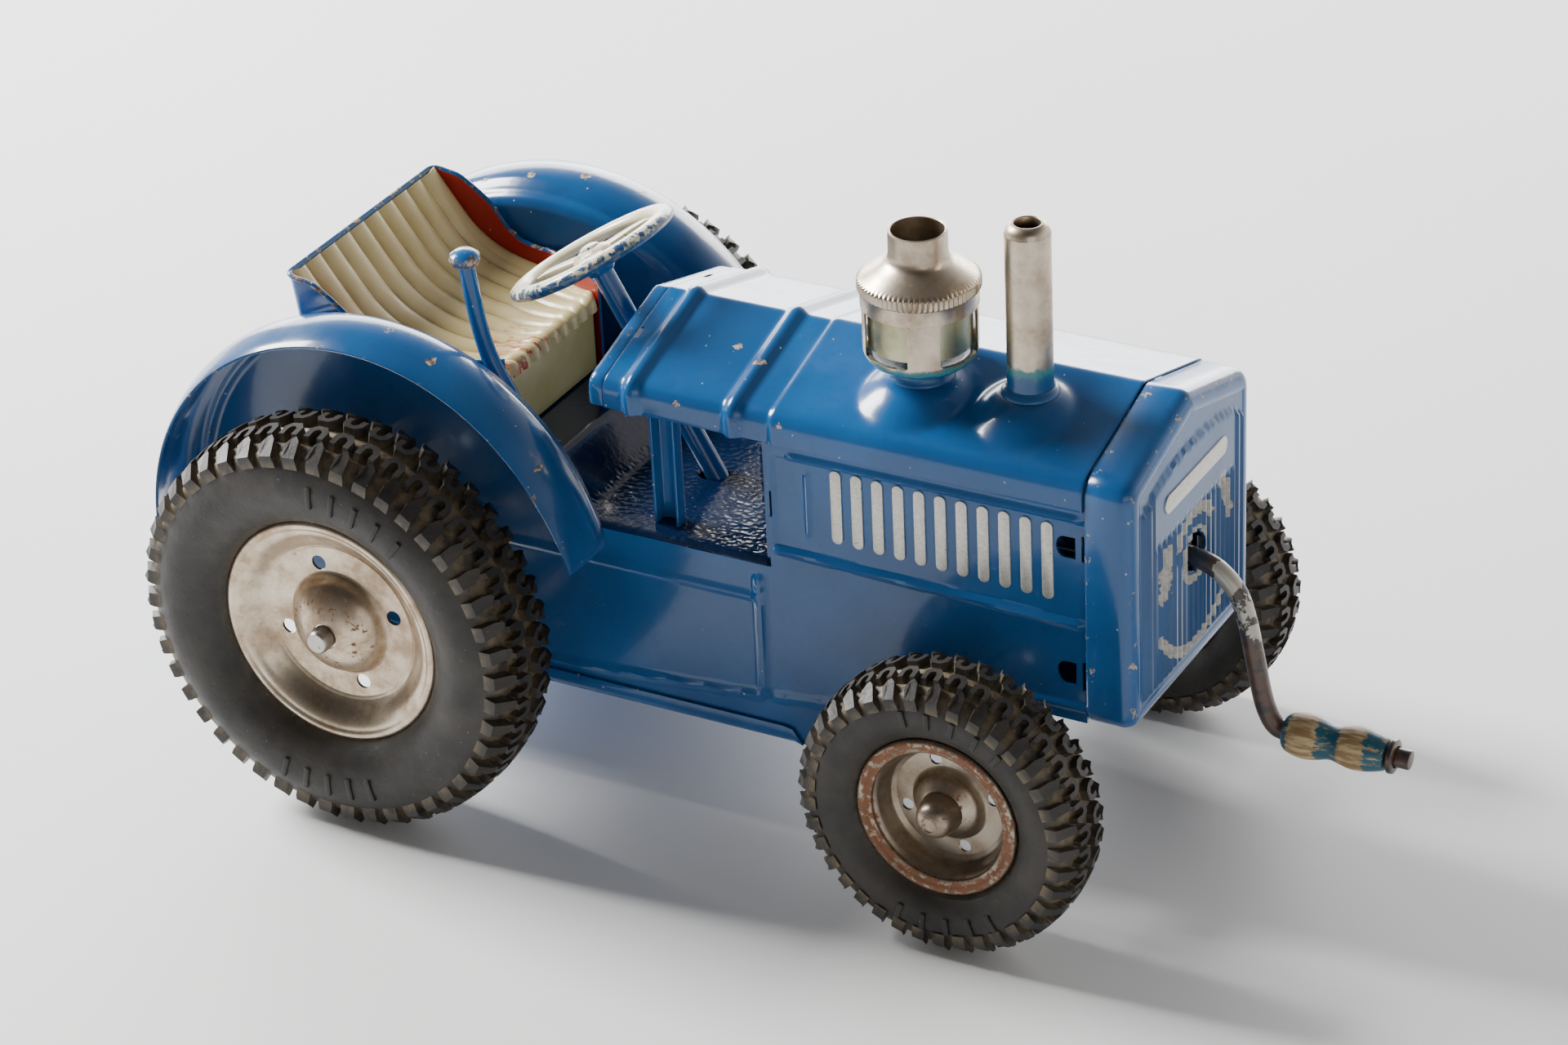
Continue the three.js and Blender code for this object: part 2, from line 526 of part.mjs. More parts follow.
const footX = STEER.hub.x + (columnLength + STEER_ARM.pinMiddle) * Math.sin(STEER.tilt);
const footZ = STEER.hub.z - (columnLength + STEER_ARM.pinMiddle) * Math.cos(STEER.tilt);
const linkEyeZ = 28.6;
add('drag_link', union(
  bent([[footX + 3.3, -STEER_ARM.length, footZ], [footX + 6, -8.6, footZ], [62, -11.6, 35.2],
    [84, -15.2, 29.8],
    [FRONT_WHEEL.x - 2.1, KINGPIN_EAR_Y, linkEyeZ]], 0.7, 6, 10),
  ring(2.9, 3.9, footZ - 0.6, footZ + 0.6, 'z', 12).translate([footX, -STEER_ARM.length, 0]),
  ring(1.5, 2.6, linkEyeZ - 0.6, linkEyeZ + 0.6, 'z', 10).translate([FRONT_WHEEL.x, KINGPIN_EAR_Y, 0])
), steel());

// ---------------------------------------------------------------- winding crank
add('crank_rod', bent([[64, 0, CRANK.z], [90, 0, CRANK.z], [118, 0, CRANK.z], [122, 0, 50.4],
  [125.6, 0, 49.2],
  [128.6, 0, 46.2], [130.2, 0, 42], [131.6, 0, 35.4], [132.8, 0, 29.6], [133.8, 0, 26.6], [135, 0, 24.8],
  [136.6, 0, 24.25], [138.6, 0, CRANK.gripZ], [146, 0, CRANK.gripZ], [CRANK.end, 0, CRANK.gripZ]],
CRANK.rod, 8, 40), steel());

const gripLine = [[CRANK.rod + GAP, 0.3], [2.3, 0.3], [3, 1.4], [3.35, 4.2], [2.7, 7.6], [3.3, 11.4],
  [2.9, 15], [2.4, 16.4], [CRANK.rod + GAP, 16.4]];
add('crank_grip', turned(gripLine, 'x', 14), wood(), { at: [CRANK.gripRear, 0, CRANK.gripZ] });
add('grip_washer', ring(CRANK.rod + GAP, 2.3, 0, 0.9, 'x', 14), steel(),
  { at: [CRANK.gripFront + GAP + 0.2, 0, CRANK.gripZ] });

const windingGear = (phase, hub) => alongX(gearOutline(TEETH.winding, GEAR_MODULE, phase, hub), 66, 68.4);
const windingPhase = Math.PI / 2;
add('crank_gear', windingGear(windingPhase, CRANK.rod + GAP), brass(), { at: [0, 0, CRANK.z] });
const lowerPhase = meshedPhase(windingPhase, TEETH.winding, TEETH.winding, -Math.PI / 2);
const windingPinion = alongX(gearOutline(TEETH.pinion, GEAR_MODULE, 0), 40.9, 44.1);
add('winding_shaft', union(windingGear(lowerPhase, 0), rod(1.5, 40.9, 70, 'x', 8), windingPinion), brass(),
  { at: [0, 0, SHAFT_Z] });

// ---------------------------------------------------------------- clockwork
const axleAt = { x: 0, z: REAR_WHEEL.radius };
const arborAt = { x: SHAFT_Z, z: SHAFT_Z };
const wheelAt = meshCentre(axleAt, pitchRadius(TEETH.axle + TEETH.wheel), arborAt,
  pitchRadius(TEETH.pinion + TEETH.great), -1);
const escapeReach = pitchRadius(TEETH.wheel + TEETH.pinion);
const escapeAngle = 2.19;
const escapeAt = {
  x: wheelAt.x + escapeReach * Math.cos(escapeAngle),
  z: wheelAt.z + escapeReach * Math.sin(escapeAngle),
};
const palletAt = { x: escapeAt.x - 7.2, z: escapeAt.z + 2.6 };
const PLATE_Y = [13.5, 14.3];
const ARBOR_END = 15; // where the small arbors end, just outside the plates

const axlePhase = 0;
const wheelPhase = meshedPhase(axlePhase, TEETH.axle, TEETH.wheel, heading(axleAt, wheelAt));
const escapePhase = meshedPhase(wheelPhase, TEETH.wheel, TEETH.pinion, escapeAngle);
const greatPhase = meshedPhase(wheelPhase, TEETH.pinion, TEETH.great, heading(wheelAt, arborAt));
const spur = (teeth, phase, y0, y1, bore) => alongY(gearOutline(teeth, GEAR_MODULE, phase, bore), y0, y1);
const onShaft = (centre) => ({ at: [centre.x, 0, centre.z] });

add('axle_pinion', spur(TEETH.axle, axlePhase, 9.9, 12.1, AXLE_R.rear + GAP), brass(), onShaft(axleAt));
add('intermediate_wheel', union(
  spur(TEETH.wheel, wheelPhase, 10.2, 11.8, 0),
  spur(TEETH.pinion, wheelPhase, 7.6, 10.4, 0),
  rod(1.2, -ARBOR_END, ARBOR_END, 'y', 8)
), brass(), onShaft(wheelAt));
add('great_wheel', spur(TEETH.great, greatPhase, 7.9, 9.3, 2.3), brass(), onShaft(arborAt));
add('escape_wheel', union(
  spur(TEETH.pinion, escapePhase, 10.2, 12, 0),
  alongY(escapeOutline(), 6, 7.2),
  rod(1, -ARBOR_END, ARBOR_END, 'y', 8)
), brass(), onShaft(escapeAt));

/** The root and the tip of a tooth that leans over by the given angle. */
function sawTooth(angle, root, tip, lean) {
  return [
    [root * Math.cos(angle), root * Math.sin(angle)],
    [tip * Math.cos(angle + lean), tip * Math.sin(angle + lean)],
  ];
}

/** Hooked teeth, all leaning one way. */
function escapeOutline() {
  const pitch = (2 * Math.PI) / TEETH.escape;
  const points = Array.from({ length: TEETH.escape }, (_, i) => sawTooth(i * pitch, 3.8, 5.4, 0.1));
  return outline(points.flat());
}

const ratchetPoints = Array.from({ length: TEETH.ratchet }, (_, i) =>
  sawTooth((2 * Math.PI * i) / TEETH.ratchet, 3.9, 5, 0.08)).flat();

/** Face teeth stand on the crown wheel and point to the winding pinion. */
function crownWheel() {
  const teeth = Array.from({ length: TEETH.crown }, (_, i) =>
    box([CROWN_R - 1, CROWN_R + 1], [3.3, 5.3], [-0.4, 0.4])
      .rotate([0, (i + 0.5) * (360 / TEETH.crown), 0]));
  return union(ring(1.9, CROWN_R + 1.2, 5.2, 6, 'y', 20), ...teeth);
}

add('spring_arbor', rod(1.6, -15.2, 15.2, 'y', 12), steel(), onShaft(arborAt));
add('crown_wheel', crownWheel(), brass(), onShaft(arborAt));
add('ratchet_wheel', alongY(outline(ratchetPoints), 6.4, 7.4).subtract(rod(1.9, 0, 10, 'y', 10)), steel(),
  onShaft(arborAt));
const clickOutline = outline([[5.4, 0.3], [9.2, 0.2], [10.2, 1.4], [9.2, 2.4], [7.6, 2.2]]);
add('ratchet_click', alongY(clickOutline, 6.4, 7.5), steel(), onShaft(arborAt));

/** The mainspring: a flat strip wound outwards from the arbor to the frame pillar. */
function mainspring() {
  const [turns, steps, start, finishR, thick] = [3.5, 42, 2.2, 6.8, 0.6];
  const at = (i, offset) => {
    const angle = (2 * Math.PI * turns * i) / steps;
    const r = start + ((finishR - start) * i) / steps + offset;
    return [r * Math.cos(angle), r * Math.sin(angle)];
  };
  const outer = Array.from({ length: steps + 1 }, (_, i) => at(i, thick));
  const inner = Array.from({ length: steps + 1 }, (_, i) => at(steps - i, 0));
  return alongY(outline([...outer, ...inner]), -12.3, -5.2);
}

add('mainspring', mainspring(), steel(), onShaft(arborAt));
const palletOutline = outline([[-3.6, -1.2], [-2.6, 0.6], [0, 1.5], [2.6, 0.6], [3.6, -1.2], [3, -1.6],
  [1.6, 0], [-1.6, 0], [-3, -1.6]]);
add('escape_pallet', union(
  alongY(palletOutline, 6, 7.2),
  rod(0.8, -ARBOR_END, ARBOR_END, 'y', 8)
), steel(), { at: [palletAt.x, 0, palletAt.z], tilt: -1.2 });

function motorPlate(side) {
  const edge = outline([[-9, 19], [50, 19], [50, 44.4], [27.5, 44.4], [20, 50.6], [-9, 50.6]]);
  const sheet = alongY(edge, ...PLATE_Y);
  const bearing = (centre, r) => rod(r + GAP, 12, 16, 'y', 12).translate([centre.x, 0, centre.z]);
  const drilled = sheet.subtract(union(
    bearing(axleAt, AXLE_R.rear),
    bearing(wheelAt, 1.2),
    bearing(arborAt, 1.6),
    bearing(escapeAt, 1),
    bearing(palletAt, 0.8)
  ));
  if (side > 0) return drilled;
  const leverPin = rod(0.7, -19.6, -13.8, 'y', 8).translate([LEVER.x, 0, LEVER.z - 1.5]);
  return drilled.mirror([0, 1, 0]).add(leverPin);
}

add('motor_plate_left', motorPlate(1), steel());
add('motor_plate_right', motorPlate(-1), steel());
[[-5, 22], [47, 22], [-5, 47]].forEach(([x, z], i) => {
  add(`plate_pillar_${i + 1}`, rod(1.4, -13.2, 13.2, 'y', 10), steel(), { at: [x, 0, z] });
});

// ---------------------------------------------------------------- start and stop lever
function lever() {
  const bar = bent([[0, 0, -4], [0, 0, 0], [-0.7, 0, 4.8], [-2.9, 0, 12.3], [-5.3, 0, 17.6],
    [-8.8, 0, 23.8],
    [-10.4, 0, 30], [-11.8, 0, 40.8]], 1.4, 6, 14);
  const knob = turned([[0, -1.2], [1.5, -1], [2.3, 0], [2.2, 1], [1.2, 1.7], [0, 1.8]], 'z', 12);
  const eye = rod(2.6, -1.4, 1.4, 'y').translate([0, 0, -1.5]);
  const pinHole = rod(1, -5, 5, 'y', 8).translate([0, 0, -1.5]);
  return union(bar, eye, knob.translate([-11.8, 0, 40.6])).subtract(pinHole);
}

add('start_stop_lever', lever(), blue(), { at: [LEVER.x, LEVER.y, LEVER.z] });

export default tractor;
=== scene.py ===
"""The looks of a wind-up tin farm tractor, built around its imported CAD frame.

Shapes are drawn in millimetres, with X = 0 on the rear axle, Y to the driver's left and Z = 0 on
the ground. build() turns them into metres in the frame of the CAD model.
"""
import json
import math

import bmesh
import bpy
from mathutils import Matrix, Vector


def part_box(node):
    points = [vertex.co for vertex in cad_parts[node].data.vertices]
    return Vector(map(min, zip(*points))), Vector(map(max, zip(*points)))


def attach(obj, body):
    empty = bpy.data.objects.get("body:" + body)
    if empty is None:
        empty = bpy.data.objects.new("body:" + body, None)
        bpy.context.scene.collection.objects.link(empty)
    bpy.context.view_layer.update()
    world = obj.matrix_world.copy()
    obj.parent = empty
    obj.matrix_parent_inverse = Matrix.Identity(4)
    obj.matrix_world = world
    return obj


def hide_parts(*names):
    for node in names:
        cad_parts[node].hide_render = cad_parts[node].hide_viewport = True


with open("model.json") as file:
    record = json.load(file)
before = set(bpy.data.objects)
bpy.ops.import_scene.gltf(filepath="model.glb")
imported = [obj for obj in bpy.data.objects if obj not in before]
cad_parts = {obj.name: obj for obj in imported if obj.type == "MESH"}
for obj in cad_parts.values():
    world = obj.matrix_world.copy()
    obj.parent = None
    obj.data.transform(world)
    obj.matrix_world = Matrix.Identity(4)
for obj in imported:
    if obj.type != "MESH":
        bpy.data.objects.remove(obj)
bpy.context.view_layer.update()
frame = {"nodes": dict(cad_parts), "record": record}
MM = 0.001


def centre(node):
    """The middle of a CAD node's box, in millimetres of the CAD frame."""
    low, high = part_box(node)
    return (low + high) / 2 / MM


AXLE_X = centre("rear_axle").x  # where the drawing's X = 0 lies in the CAD frame


def low(node):
    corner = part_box(node)[0] / MM
    return Vector((corner.x - AXLE_X, corner.y, corner.z))


def high(node):
    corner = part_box(node)[1] / MM
    return Vector((corner.x - AXLE_X, corner.y, corner.z))


# ---------------------------------------------------------------- driving dimensions
TIN = 0.45  # the sheet's thickness
SIDE_Y = 20.6
SILL_Z = 46.4
HOOD_REAR, HOOD_FRONT = 35.3, 114.0
HOOD_LOW, HOOD_SHOULDER, HOOD_RIDGE, HOOD_HALF = 66.9, 71.2, 77.2, 20.9
RADIATOR_REAR, RADIATOR_FRONT, RADIATOR_LOW = 114.4, 121.2, 31.7
FIREWALL_X = 62.3
BODY_REAR, BODY_LOW = -24.0, 15.6
DECK_Z, DECK_FRONT, FLOOR_REAR = 52.4, 22.0, 29.5
CRANK_Z, GRIP_Z = 50.5, 24.2
RIM_EDGE = 4.1  # from the wheel's middle plane to the foot of the rim's rolled edge
WHEELS = {
    # radius and half: the tyre's radius and half its width; lip, hub and holes: radii on the rim;
    # lugs and lug: how many tread blocks each side has and how high they are; disc: the rim's dish
    "rear": dict(radius=33.5, half=8.5, lip=18.4, hub=8.4, holes=10.2, lugs=46, lug=1.6, disc=1.2),
    "front": dict(radius=23.0, half=6.5, lip=12.6, hub=5.7, holes=7.3, lugs=37, lug=1.3, disc=-0.3),
}


# ---------------------------------------------------------------- mesh helpers
def build(name, points, faces, wear=None):
    """A mesh object from points in drawing millimetres. wear is a number from 0 to 1 for each point."""
    mesh = bpy.data.meshes.new(name)
    mesh.from_pydata([((x + AXLE_X) * MM, y * MM, z * MM) for x, y, z in points], [], faces)
    if wear is not None:
        mesh.attributes.new("wear", "FLOAT", "POINT").data.foreach_set("value", wear)
    work = bmesh.new()
    work.from_mesh(mesh)
    loose = [v for v in work.verts if not v.link_faces]
    bmesh.ops.delete(work, geom=loose, context="VERTS")
    bmesh.ops.remove_doubles(work, verts=work.verts, dist=0.004 * MM)
    work.to_mesh(mesh)
    work.free()
    obj = bpy.data.objects.new(name, mesh)
    bpy.context.scene.collection.objects.link(obj)
    return obj


def settle(obj, angle=38):
    """Applies the modifiers and shades smooth across edges flatter than angle."""
    graph = bpy.context.evaluated_depsgraph_get()
    mesh = bpy.data.meshes.new_from_object(obj.evaluated_get(graph))
    obj.modifiers.clear()
    obj.data = mesh
    mesh.shade_smooth()
    mesh.set_sharp_from_angle(angle=math.radians(angle))
    return obj


def thicken(obj, thickness=TIN, bevel=0.1, offset=0.0, inner_slot=0):
    """Gives a sheet its thickness and softens its cut edges."""
    solid = obj.modifiers.new("thickness", "SOLIDIFY")
    solid.thickness = thickness * MM
    solid.offset = offset
    solid.material_offset = inner_slot
    soften(obj, bevel)
    return settle(obj)


def soften(obj, width, segments=2, angle=40):
    rounding = obj.modifiers.new("soft_edges", "BEVEL")
    rounding.width = width * MM
    rounding.segments = segments
    rounding.limit_method = "ANGLE"
    rounding.angle_limit = math.radians(angle)


def recalculated(obj):
    work = bmesh.new()
    work.from_mesh(obj.data)
    bmesh.ops.recalc_face_normals(work, faces=work.faces)
    work.to_mesh(obj.data)
    work.free()
    return obj


def grid(name, us, vs, point, keep=None, wear=None):
    """A sheet of quads with a corner point(u, v) for each pair. keep(u, v) says which cells stay."""
    points = [point(u, v) for u in us for v in vs]
    width = len(vs)
    faces = []
    for i in range(len(us) - 1):
        for j in range(width - 1):
            middle_u = (us[i] + us[i + 1]) / 2
            middle_v = (vs[j] + vs[j + 1]) / 2
            if keep is None or keep(middle_u, middle_v):
                a, b = i * width + j, (i + 1) * width + j
                faces.append((a, b, b + 1, a + 1))
    worn = [wear(u, v) for u in us for v in vs] if wear else None
    return build(name, points, faces, worn)


def steps(start, end, spacing):
    """Evenly spaced numbers from start to end, no further apart than spacing."""
    count = max(1, math.ceil(abs(end - start) / spacing))
    return [start + (end - start) * i / count for i in range(count + 1)]


def lines(spacing, *stops):
    """Grid lines that pass through every stop, no further apart than spacing."""
    values = [stops[0]]
    for a, b in zip(stops, stops[1:]):
        values += steps(a, b, spacing)[1:]
    return values


def smooth_path(points, per=8):
    """A Catmull-Rom curve through the points."""
    padded = [points[0], *points, points[-1]]
    path = []
    for a, b, c, d in zip(padded, padded[1:], padded[2:], padded[3:]):
        for i in range(per):
            t = i / per
            path.append(tuple(
                0.5 * (2 * q + (r - p) * t + (2 * p - 5 * q + 4 * r - s) * t * t
                       + (3 * q - p - 3 * r + s) * t ** 3)
                for p, q, r, s in zip(a, b, c, d)))
    return path + [tuple(points[-1])]


def rounded(points, radii, arc_steps=6):
    """A polyline with its inner corners turned into arcs of the given radii."""
    path = [tuple(points[0])]
    for before, corner, after, radius in zip(points, points[1:], points[2:], radii):
        corner = Vector(corner)
        a, b = (Vector(before) - corner), (Vector(after) - corner)
        half_angle = a.angle(b) / 2
        reach = min(radius / math.tan(half_angle), 0.49 * a.length, 0.49 * b.length)
        start, end = corner + a.normalized() * reach, corner + b.normalized() * reach
        for i in range(arc_steps + 1):
            t = i / arc_steps
            path.append(tuple((1 - t) ** 2 * start + 2 * t * (1 - t) * corner + t * t * end))
    return path + [tuple(points[-1])]


def finer(path, spacing):
    """The same polyline with long stretches cut into shorter ones."""
    result = [path[0]]
    for a, b in zip(path, path[1:]):
        count = max(1, math.ceil(math.dist(a, b) / spacing))
        result += [tuple(p + (q - p) * i / count for p, q in zip(a, b)) for i in range(1, count + 1)]
    return result


def outward(path):
    """The unit normals of a flat polyline, turned to the left of its direction."""
    normals = []
    for i in range(len(path)):
        a, b = path[max(i - 1, 0)], path[min(i + 1, len(path) - 1)]
        along = Vector((b[0] - a[0], b[1] - a[1])).normalized()
        normals.append((-along.y, along.x))
    return normals


def level(value, table):
    """Straight-line interpolation in a table of (value, result) pairs that rises by value."""
    if value <= table[0][0]:
        return table[0][1]
    for (a, p), (b, q) in zip(table, table[1:]):
        if value <= b:
            return p + (q - p) * (value - a) / (b - a)
    return table[-1][1]


def bump(distance, width):
    """A soft rise from 0 at width to 1 at no distance."""
    t = min(abs(distance) / width, 1)
    return (1 - t * t) ** 2


def turned(name, profile, middle, axis="y", count=96, wear=None, swell=None):
    """A surface of revolution from (radius, height) points. swell(angle, index) adds to a radius."""
    points, faces, worn = [], [], []
    for i in range(count):
        angle = 2 * math.pi * i / count
        for k, (r, h) in enumerate(profile):
            r = r + (swell(angle, k) if swell else 0)
            u, v = r * math.cos(angle), r * math.sin(angle)
            place = {"x": (h, u, v), "y": (u, h, v), "z": (u, v, h)}[axis]
            points.append(tuple(p + m for p, m in zip(place, middle)))
            worn.append(wear(r, h) if wear else 0.0)
    width = len(profile)
    for i in range(count):
        a, b = i * width, ((i + 1) % count) * width
        faces += [(a + k, b + k, b + k + 1, a + k + 1) for k in range(width - 1)]
    obj = build(name, points, faces, worn)
    work = bmesh.new()
    work.from_mesh(obj.data)
    bmesh.ops.dissolve_degenerate(work, edges=work.edges, dist=0.004 * MM)
    bmesh.ops.recalc_face_normals(work, faces=work.faces)
    work.to_mesh(obj.data)
    work.free()
    return settle(obj)


def tube(name, path, radius, sides=20, wear=None, flat=(1, 1)):
    """A round bar along a path. radius may be a number or a function of the share of the path."""
    count = len(path)
    points, faces, worn = [], [], []
    side = None
    for i, place in enumerate(path):
        a, b = Vector(path[max(i - 1, 0)]), Vector(path[min(i + 1, count - 1)])
        along = (b - a).normalized()
        if side is None:
            side = along.orthogonal().normalized()
        side = (side - side.dot(along) * along).normalized()
        other = along.cross(side)
        r = radius(i / (count - 1)) if callable(radius) else radius
        for k in range(sides):
            angle = 2 * math.pi * k / sides
            offset = side * (r * flat[0] * math.cos(angle)) + other * (r * flat[1] * math.sin(angle))
            points.append(tuple(Vector(place) + offset))
            worn.append(wear(i / (count - 1)) if wear else 0.0)
    for i in range(count - 1):
        for k in range(sides):
            a, b = i * sides + k, i * sides + (k + 1) % sides
            faces.append((a, b, b + sides, a + sides))
    faces += [tuple(range(sides))[::-1], tuple(range((count - 1) * sides, count * sides))]
    obj = recalculated(build(name, points, faces, worn))
    soften(obj, 0.15, angle=60)
    return settle(obj)


def prism(name, outline, height, place, bevel=0.12):
    """A flat outline pushed out along +h. place(u, v, h) gives each point."""
    n = len(outline)
    points = [place(u, v, h) for h in (0, height) for u, v in outline]
    faces = [tuple(range(n))[::-1], tuple(range(n, 2 * n))]
    faces += [(i, (i + 1) % n, n + (i + 1) % n, n + i) for i in range(n)]
    obj = recalculated(build(name, points, faces, [0.0] * (2 * n)))
    if bevel:
        soften(obj, bevel)
    return settle(obj)


def joined(name, parts):
    """Several objects made one."""
    work = bmesh.new()
    for part in parts:
        work.from_mesh(part.data)
    mesh = bpy.data.meshes.new(name)
    work.to_mesh(mesh)
    work.free()
    for part in parts:
        bpy.data.objects.remove(part)
    obj = bpy.data.objects.new(name, mesh)
    bpy.context.scene.collection.objects.link(obj)
    mesh.set_sharp_from_angle(angle=math.radians(38))
    return obj


def drilled(obj, *cutters):
    """Cuts the cutters out of obj and removes them."""
    for cutter in cutters:
        cut = obj.modifiers.new("cut", "BOOLEAN")
        cut.operation = "DIFFERENCE"
        cut.solver = "EXACT"
        cut.object = cutter
    settle(obj)
    for cutter in cutters:
        bpy.data.objects.remove(cutter)
    return obj


def rod(radius, start, end, sides=24):
    """A plain round cutter from start to end."""
    return tube("cutter", [start, end], radius, sides)


def piece(obj, body, slot, material, *nodes):
    """Hands a finished mesh to the frame: what it rides on, its finish and the nodes it stands for."""
    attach(obj, body)
    if nodes:
        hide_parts(*nodes)
    materials = material if isinstance(material, (list, tuple)) else [material]
    if not obj.data.materials:
        for m in materials:
            obj.data.materials.append(m)
    else:
        for i, m in enumerate(materials):
            obj.data.materials[i] = m
    return obj


# ---------------------------------------------------------------- materials
class Paint:
    """One Principled material, with short calls for the nodes that feed it. Sizes are in mm."""

    def __init__(self, name, roughness, metallic=0.0, coat=0.0, coat_roughness=0.08):
        self.material = bpy.data.materials.new(name)
        self.material.use_nodes = True
        self.tree = self.material.node_tree
        self.tree.nodes.clear()
        out = self.tree.nodes.new("ShaderNodeOutputMaterial")
        self.shader = self.tree.nodes.new("ShaderNodeBsdfPrincipled")
        self.tree.links.new(self.shader.outputs[0], out.inputs[0])
        self.shader.inputs["Roughness"].default_value = roughness
        self.shader.inputs["Metallic"].default_value = metallic
        self.shader.inputs["Coat Weight"].default_value = coat
        self.shader.inputs["Coat Roughness"].default_value = coat_roughness
        self.where = self.tree.nodes.new("ShaderNodeTexCoord").outputs["Object"]
        self.relief = None

    def node(self, kind, inputs=(), **settings):
        made = self.tree.nodes.new("ShaderNode" + kind)
        for key, value in settings.items():
            setattr(made, key, value)
        for key, value in dict(inputs).items():
            if isinstance(value, bpy.types.NodeSocket):
                self.tree.links.new(value, made.inputs[key])
            else:
                made.inputs[key].default_value = value
        return made

    def maths(self, operation, a, b=0.0, clamp=False):
        return self.node("Math", {0: a, 1: b}, operation=operation, use_clamp=clamp).outputs[0]

    def stretched(self, stretch, shift=(0, 0, 0)):
        scaled = self.node("VectorMath", {0: self.where, 1: stretch}, operation="MULTIPLY").outputs[0]
        return self.node("VectorMath", {0: scaled, 1: shift}, operation="ADD").outputs[0]

    def noise(self, size, detail=3.0, stretch=(1, 1, 1), seed=0.0, roughness=0.55):
        """Smooth noise around 0.5 with lumps about `size` wide."""
        inputs = {"Vector": self.stretched(stretch, (seed, seed, seed)), "Scale": 1 / (size * MM),
                  "Detail": detail, "Roughness": roughness}
        return self.node("TexNoise", inputs).outputs["Fac"]

    def dots(self, pitch, radius, share, seed=0.0):
        """Small round specks, 1 inside: one for each cell of `pitch`, for a share of the cells."""
        inputs = {"Vector": self.stretched((1, 1, 1), (seed, 0, seed)), "Scale": 1 / (pitch * MM)}
        cells = self.node("TexVoronoi", inputs)
        chance = self.node("SeparateColor", {0: cells.outputs["Color"]})
        size = self.maths("MULTIPLY", chance.outputs[1], radius / pitch)
        inside = self.maths("LESS_THAN", cells.outputs["Distance"], size)
        return self.maths("MULTIPLY", inside, self.maths("LESS_THAN", chance.outputs[0], share))

    def step(self, value, start, end):
        """0 below start, 1 above end. Start may be the larger one."""
        inputs = {"Value": value, "From Min": start, "From Max": end}
        return self.node("MapRange", inputs, interpolation_type="SMOOTHSTEP").outputs[0]

    def mix(self, factor, a, b):
        made = self.node("Mix", {0: factor}, data_type="RGBA")
        for slot, value in ((6, a), (7, b)):
            if isinstance(value, bpy.types.NodeSocket):
                self.tree.links.new(value, made.inputs[slot])
            else:
                made.inputs[slot].default_value = (*value, 1)
        return made.outputs[2]

    def attribute(self, name):
        return self.node("Attribute", attribute_name=name).outputs["Fac"]

    def along(self, axis):
        """The X, Y or Z place in drawing millimetres."""
        parts = self.node("SeparateXYZ", {0: self.where})
        value = self.maths("MULTIPLY", parts.outputs["XYZ".index(axis)], 1 / MM)
        return self.maths("SUBTRACT", value, AXLE_X) if axis == "X" else value

    def colour(self, socket):
        self.tree.links.new(socket, self.shader.inputs["Base Color"])

    def roughness(self, socket):
        self.tree.links.new(socket, self.shader.inputs["Roughness"])

    def metallic(self, socket):
        self.tree.links.new(socket, self.shader.inputs["Metallic"])

    def raise_by(self, height, depth, strength=1.0):
        """Adds a bump of `depth` millimetres where height goes from 0 to 1."""
        inputs = {"Height": height, "Distance": depth * MM, "Strength": strength}
        if self.relief is not None:
            inputs["Normal"] = self.relief
        self.relief = self.node("Bump", inputs).outputs[0]
        self.tree.links.new(self.relief, self.shader.inputs["Normal"])


def enamel(name, deep, light, primer=(0.50, 0.42, 0.32), gloss=0.2, chips=1.0, dust=1.0, coat=0.3,
           rust=(0.16, 0.075, 0.035)):
    """Baked enamel: slow colour change, dust specks, faint waves, and chips where wear is set."""
    p = Paint(name, gloss, coat=coat)
    p.shader.inputs["Specular IOR Level"].default_value = 0.35
    base = p.mix(p.step(p.noise(26, 2), 0.35, 0.65), deep, light)
    base = p.mix(p.maths("MULTIPLY", p.step(p.noise(1.4, 4, seed=3), 0.5, 0.8), 0.25), base,
                 tuple(c * 0.6 for c in deep))
    specks = p.maths("MULTIPLY", p.dots(1.9, 0.19, 0.42), 0.7 * dust)
    base = p.mix(specks, base, (0.55, 0.58, 0.6))
    worn = p.attribute("wear")
    ragged = p.noise(1.9, 5, seed=7, roughness=0.65)
    chip = p.step(p.maths("ADD", ragged, p.maths("MULTIPLY", worn, 0.34 * chips)), 0.80, 0.83)
    stray = p.step(p.noise(2.6, 4, seed=11, roughness=0.7), 0.765, 0.775)
    chip = p.maths("MAXIMUM", chip, p.maths("MULTIPLY", stray, min(chips, 1.0)))
    bare = p.mix(p.step(p.noise(0.9, 3, seed=5), 0.42, 0.6), rust, primer)
    p.colour(p.mix(chip, base, bare))
    matt = p.maths("MULTIPLY", chip, 0.45)
    haze = p.maths("MULTIPLY", p.step(p.noise(7, 4, seed=2), 0.45, 0.75), 0.08)
    p.roughness(p.maths("ADD", p.maths("ADD", matt, haze), gloss))
    p.raise_by(p.noise(9, 2, seed=4), 0.10)
    p.raise_by(p.noise(0.7, 2, seed=9), 0.006)
    p.raise_by(chip, -0.05)
    return p


